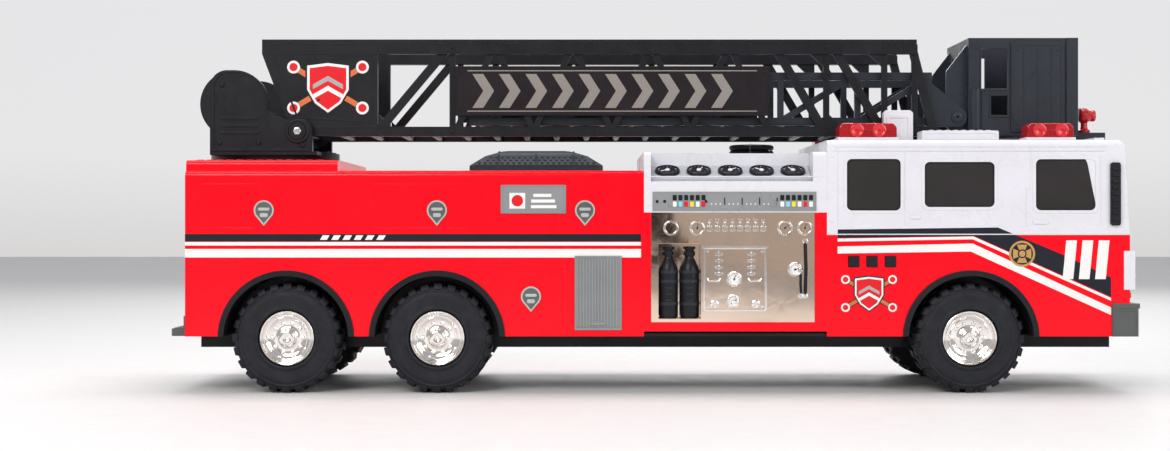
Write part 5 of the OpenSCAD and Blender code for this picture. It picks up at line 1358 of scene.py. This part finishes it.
# Drawn with x across the truck and -y out of the rear, then turned to face backwards
rear_face = Matrix.Translation((REAR, 0, 0)) @ Matrix.Rotation(math.radians(-90), 4, "Z")


def rear_piece(name, bm, material, **looks):
    """A piece drawn on the rear face's own plane."""
    bmesh.ops.transform(bm, matrix=rear_face, verts=bm.verts[:])
    return piece(name, bm, material, **looks)


for k in range(22):
    z = 70 + 4.2 * k
    prism(bm, rounded(-34, 34, z, z + 3.6, 1.2), -1.3, 0.3)
prism(bm, rounded(-9, 9, 72.5, 76.5, 1.5), -2.4, 0)
rear_piece("rear_shutter", bm, GREY, bevel=0.25)
bm = bmesh.new()
frame_plate(bm, rounded(-38, 38, 66.5, 166, 3), rounded(-34.2, 34.2, 69.5, 162.6, 2), -1.8, 0.3)
for s in (-1, 1):
    border(bm, (s * 66.5 - 22, s * 66.5 + 22, 122, 168), 3, 1.4, 2, -0.9, 0.3)
rear_piece("rear_frames", bm, RED, bevel=0.3)
bm = bmesh.new()
for s in (-1, 1):
    tube(bm, [(s * 45, 0.2, 82), (s * 45, -4.2, 86), (s * 45, -4.6, 100), (s * 45, -4.6, 130),
              (s * 45, -4.2, 146), (s * 45, 0.2, 150)],
         1.5, 12)
    for z in (82, 150):
        lathe(bm, [(0, 0), (3.2, 0), (3.2, 0.9), (2.2, 1.5), (0, 1.5)], (s * 45, 0.1, z), steps=24)
    for z in (BODY_Z + 32, BODY_Z + 50):
        lathe(bm, [(7.1, 0), (8.6, 0), (8.6, 1.6), (7.9, 2.2), (7.1, 1.8)], (s * (HALF - 20), 0.1, z),
              steps=40, loop=True)
rear_piece("rear_handles", bm, CHROME)
bm = bmesh.new()
for s in (-1, 1):
    for z in (BODY_Z + 32, BODY_Z + 50):
        for r in (2.2, 4.4):
            lathe(bm, [(r, 1.8), (r + 0.7, 1.8), (r + 0.7, 2.35), (r, 2.35)], (s * (HALF - 20), 0, z),
                  steps=32, loop=True)
rear_piece("tail_light_rings", bm, RED_LENS)
bm = bmesh.new()
for s in (-1, 1):
    prism(bm, rounded(s * (HALF - 20) - 7, s * (HALF - 20) + 7, 107.5, 114.5, 2), -1.8, 0.3)
rear_piece("rear_indicators", bm, AMBER, slot="clear_lens", bevel=0.6)
bm = bmesh.new()
for s in (-1, 1):
    for k in range(4):
        x = s * (48.5 + 10.4 * k)
        top, lean = (165, 7.0) if k < 3 else (134.2, 5.0)
        low_top = 165 if k < 3 else 134
        prism(bm, [(x, 125), (x + s * 5.0, 125), (x + s * (12.0 if k < 3 else 5.0), low_top),
                   (x + s * lean, top)], -0.16, 0.3)
rear_piece("rear_slashes", bm, INK_WHITE, slot="red_plastic")
STEP = span("rear_step")
bm = bmesh.new()
for k in range(21):
    y = -84 + 8.4 * k
    block(bm, STEP[0].x + 1.5, REAR - 3.2, y - 2.6, y + 2.6, BODY_Z + 5.7, BODY_Z + 6.7)
piece("step_treads", bm, BUMPER, bevel=0.3)

bm = bmesh.new()
for x, y in ((REAR + 24, 26), (AXLES["rear"] + 60.4, 26), (PUMP - 40, 26), (CAB + 22, 26), (NOSE - 24, 26)):
    for s in (-1, 1):
        for a in (0, 1):
            w, d = (1.8, 0.35) if a else (0.35, 1.8)
            block(bm, x - w, x + w, s * y - d, s * y + d, AXLE_Z - 9.86, AXLE_Z - 9.6)
piece("screw_slots", bm, INK_BLACK, slot="steel")
bm = bmesh.new()
for x0, x1 in ((AXLES["middle"] + 56, CAB - 6), (CAB + 8, AXLES["front"] - 56),
               (REAR + 6, AXLES["rear"] - 56), (AXLES["front"] + 56, NOSE - 6)):
    for s in (-1, 1):
        for k in range(5):
            y = s * (55 + 8 * k)
            block(bm, x0, x1, y - 0.8, y + 0.8, BODY_Z - 0.2, BODY_Z + 0.5)
piece("chassis_ribs", bm, BLACK, bevel=0.2)

# pump house roof and the white shell's seams
bm = bmesh.new()
top_y = HALF - 3 - 36 * math.cos(math.radians(23)) - 6
for k in range(7):
    x = PUMP + 14 + 5 * k
    block(bm, x - 0.8, x + 0.8, -top_y, top_y, PUMP_TOP - 0.3, PUMP_TOP + 0.6)
hatch = [(PUMP + 56, -30), (PUMP + 116, -30), (PUMP + 116, 30), (PUMP + 56, 30)]
for (xa, ya), (xb, yb) in zip(hatch, hatch[1:] + hatch[:1]):
    tube(bm, [(xa, ya, PUMP_TOP), (xb, yb, PUMP_TOP)], 0.8, 8)
block(bm, PUMP + 1.5, CAB - 1.5, *near_side(0.35, 0.3), PUMP_TOP - 20.4, PUMP_TOP - 19.6)
block(bm, PUMP + 1.5, CAB - 1.5, HALF - 0.3, HALF + 0.35, PUMP_TOP - 20.4, PUMP_TOP - 19.6)
piece("pump_house_ribs", bm, WHITE, bevel=0.2)

# ---- camera, light, floor ----

scene = bpy.context.scene
scene.view_settings.view_transform = "Standard"
camera = bpy.data.objects.new("camera", bpy.data.cameras.new("camera"))
camera.data.lens = 53.85
camera.location = (-0.056, -1.495, 0.1344)
camera.rotation_euler = (math.radians(90), 0, 0)
scene.collection.objects.link(camera)
scene.camera = camera

bm = bmesh.new()
block(bm, -6000, 6000, -6000, 6000, -20, 0)
mesh = bpy.data.meshes.new("floor")
bmesh.ops.scale(bm, vec=(MM, MM, MM), verts=bm.verts[:])
bm.to_mesh(mesh)
bm.free()
floor_look = print_ink("floor_pale", (0.74, 0.73, 0.72), 0.6)
mesh.materials.append(floor_look)
floor = bpy.data.objects.new("floor", mesh)
scene.collection.objects.link(floor)


def softbox(name, at, target, size, power, color=(1, 1, 1)):
    data = bpy.data.lights.new(name, "AREA")
    data.shape, data.size, data.size_y = "RECTANGLE", size[0], size[1]
    data.energy, data.color = power, color
    light = bpy.data.objects.new(name, data)
    light.location = at
    light.rotation_euler = (Vector(target) - Vector(at)).to_track_quat("-Z", "Y").to_euler()
    scene.collection.objects.link(light)


softbox("key", (-0.9, -1.7, 1.35), (0, 0, 0.1), (1.3, 0.9), 27, (1, 0.985, 0.97))
softbox("fill", (1.3, -1.5, 0.8), (0.1, 0, 0.12), (0.9, 0.9), 10, (0.97, 0.985, 1))
softbox("top", (0, 0.15, 1.6), (0, 0, 0.1), (1.6, 0.8), 16)
softbox("back", (0.3, 1.9, 1.2), (0, 0, 0.1), (1.4, 0.8), 15)

world = bpy.data.worlds.new("studio")
scene.world = world
world.use_nodes = True
nt = world.node_tree
background = nt.nodes["Background"]
coord = nt.nodes.new("ShaderNodeTexCoord")
separate = nt.nodes.new("ShaderNodeSeparateXYZ")
nt.links.new(coord.outputs["Generated"], separate.inputs[0])


def band(socket, stops):
    """A colour ramp over one axis of the view direction, from stops of (position, colour)."""
    ranged = nt.nodes.new("ShaderNodeMapRange")
    ranged.inputs["From Min"].default_value = -1
    nt.links.new(socket, ranged.inputs["Value"])
    ramp = nt.nodes.new("ShaderNodeValToRGB")
    nt.links.new(ranged.outputs["Result"], ramp.inputs["Fac"])
    marks = ramp.color_ramp.elements
    for k, (place, color) in enumerate(stops):
        mark = marks[k] if k < 2 else marks.new(place)
        mark.position, mark.color = place, (*color, 1)
    return ramp.outputs["Color"]


blend = nt.nodes.new("ShaderNodeMix")
blend.data_type, blend.blend_type = "RGBA", "MULTIPLY"
blend.inputs[0].default_value = 1.0
nt.links.new(band(separate.outputs["Z"], [(0.0, (0.5, 0.48, 0.46)), (1.0, (0.9, 0.92, 0.96)),
                                          (0.48, (0.8, 0.78, 0.76)), (0.52, (1.0, 1.0, 1.0))]),
             blend.inputs[6])
nt.links.new(band(separate.outputs["Y"], [(0.0, (0.62, 0.58, 0.55)), (1.0, (0.95, 0.95, 0.96)),
                                          (0.35, (0.5, 0.5, 0.52)), (0.7, (0.8, 0.8, 0.82))]),
             blend.inputs[7])


def compare(socket, limit, operation):
    node = nt.nodes.new("ShaderNodeMath")
    node.operation = operation
    nt.links.new(socket, node.inputs[0])
    if isinstance(limit, float):
        node.inputs[1].default_value = limit
    else:
        nt.links.new(limit, node.inputs[1])
    return node.outputs[0]


gap = compare(compare(separate.outputs["X"], 0.012, "GREATER_THAN"),
              compare(separate.outputs["X"], 0.055, "LESS_THAN"), "MULTIPLY")
gap = compare(gap, compare(separate.outputs["Y"], -0.8, "LESS_THAN"), "MULTIPLY")
shade = nt.nodes.new("ShaderNodeMix")
shade.data_type = "RGBA"
nt.links.new(gap, shade.inputs[0])
nt.links.new(blend.outputs[2], shade.inputs[6])
shade.inputs[7].default_value = (0.03, 0.02, 0.02, 1)
nt.links.new(shade.outputs[2], background.inputs["Color"])
background.inputs["Strength"].default_value = 0.85
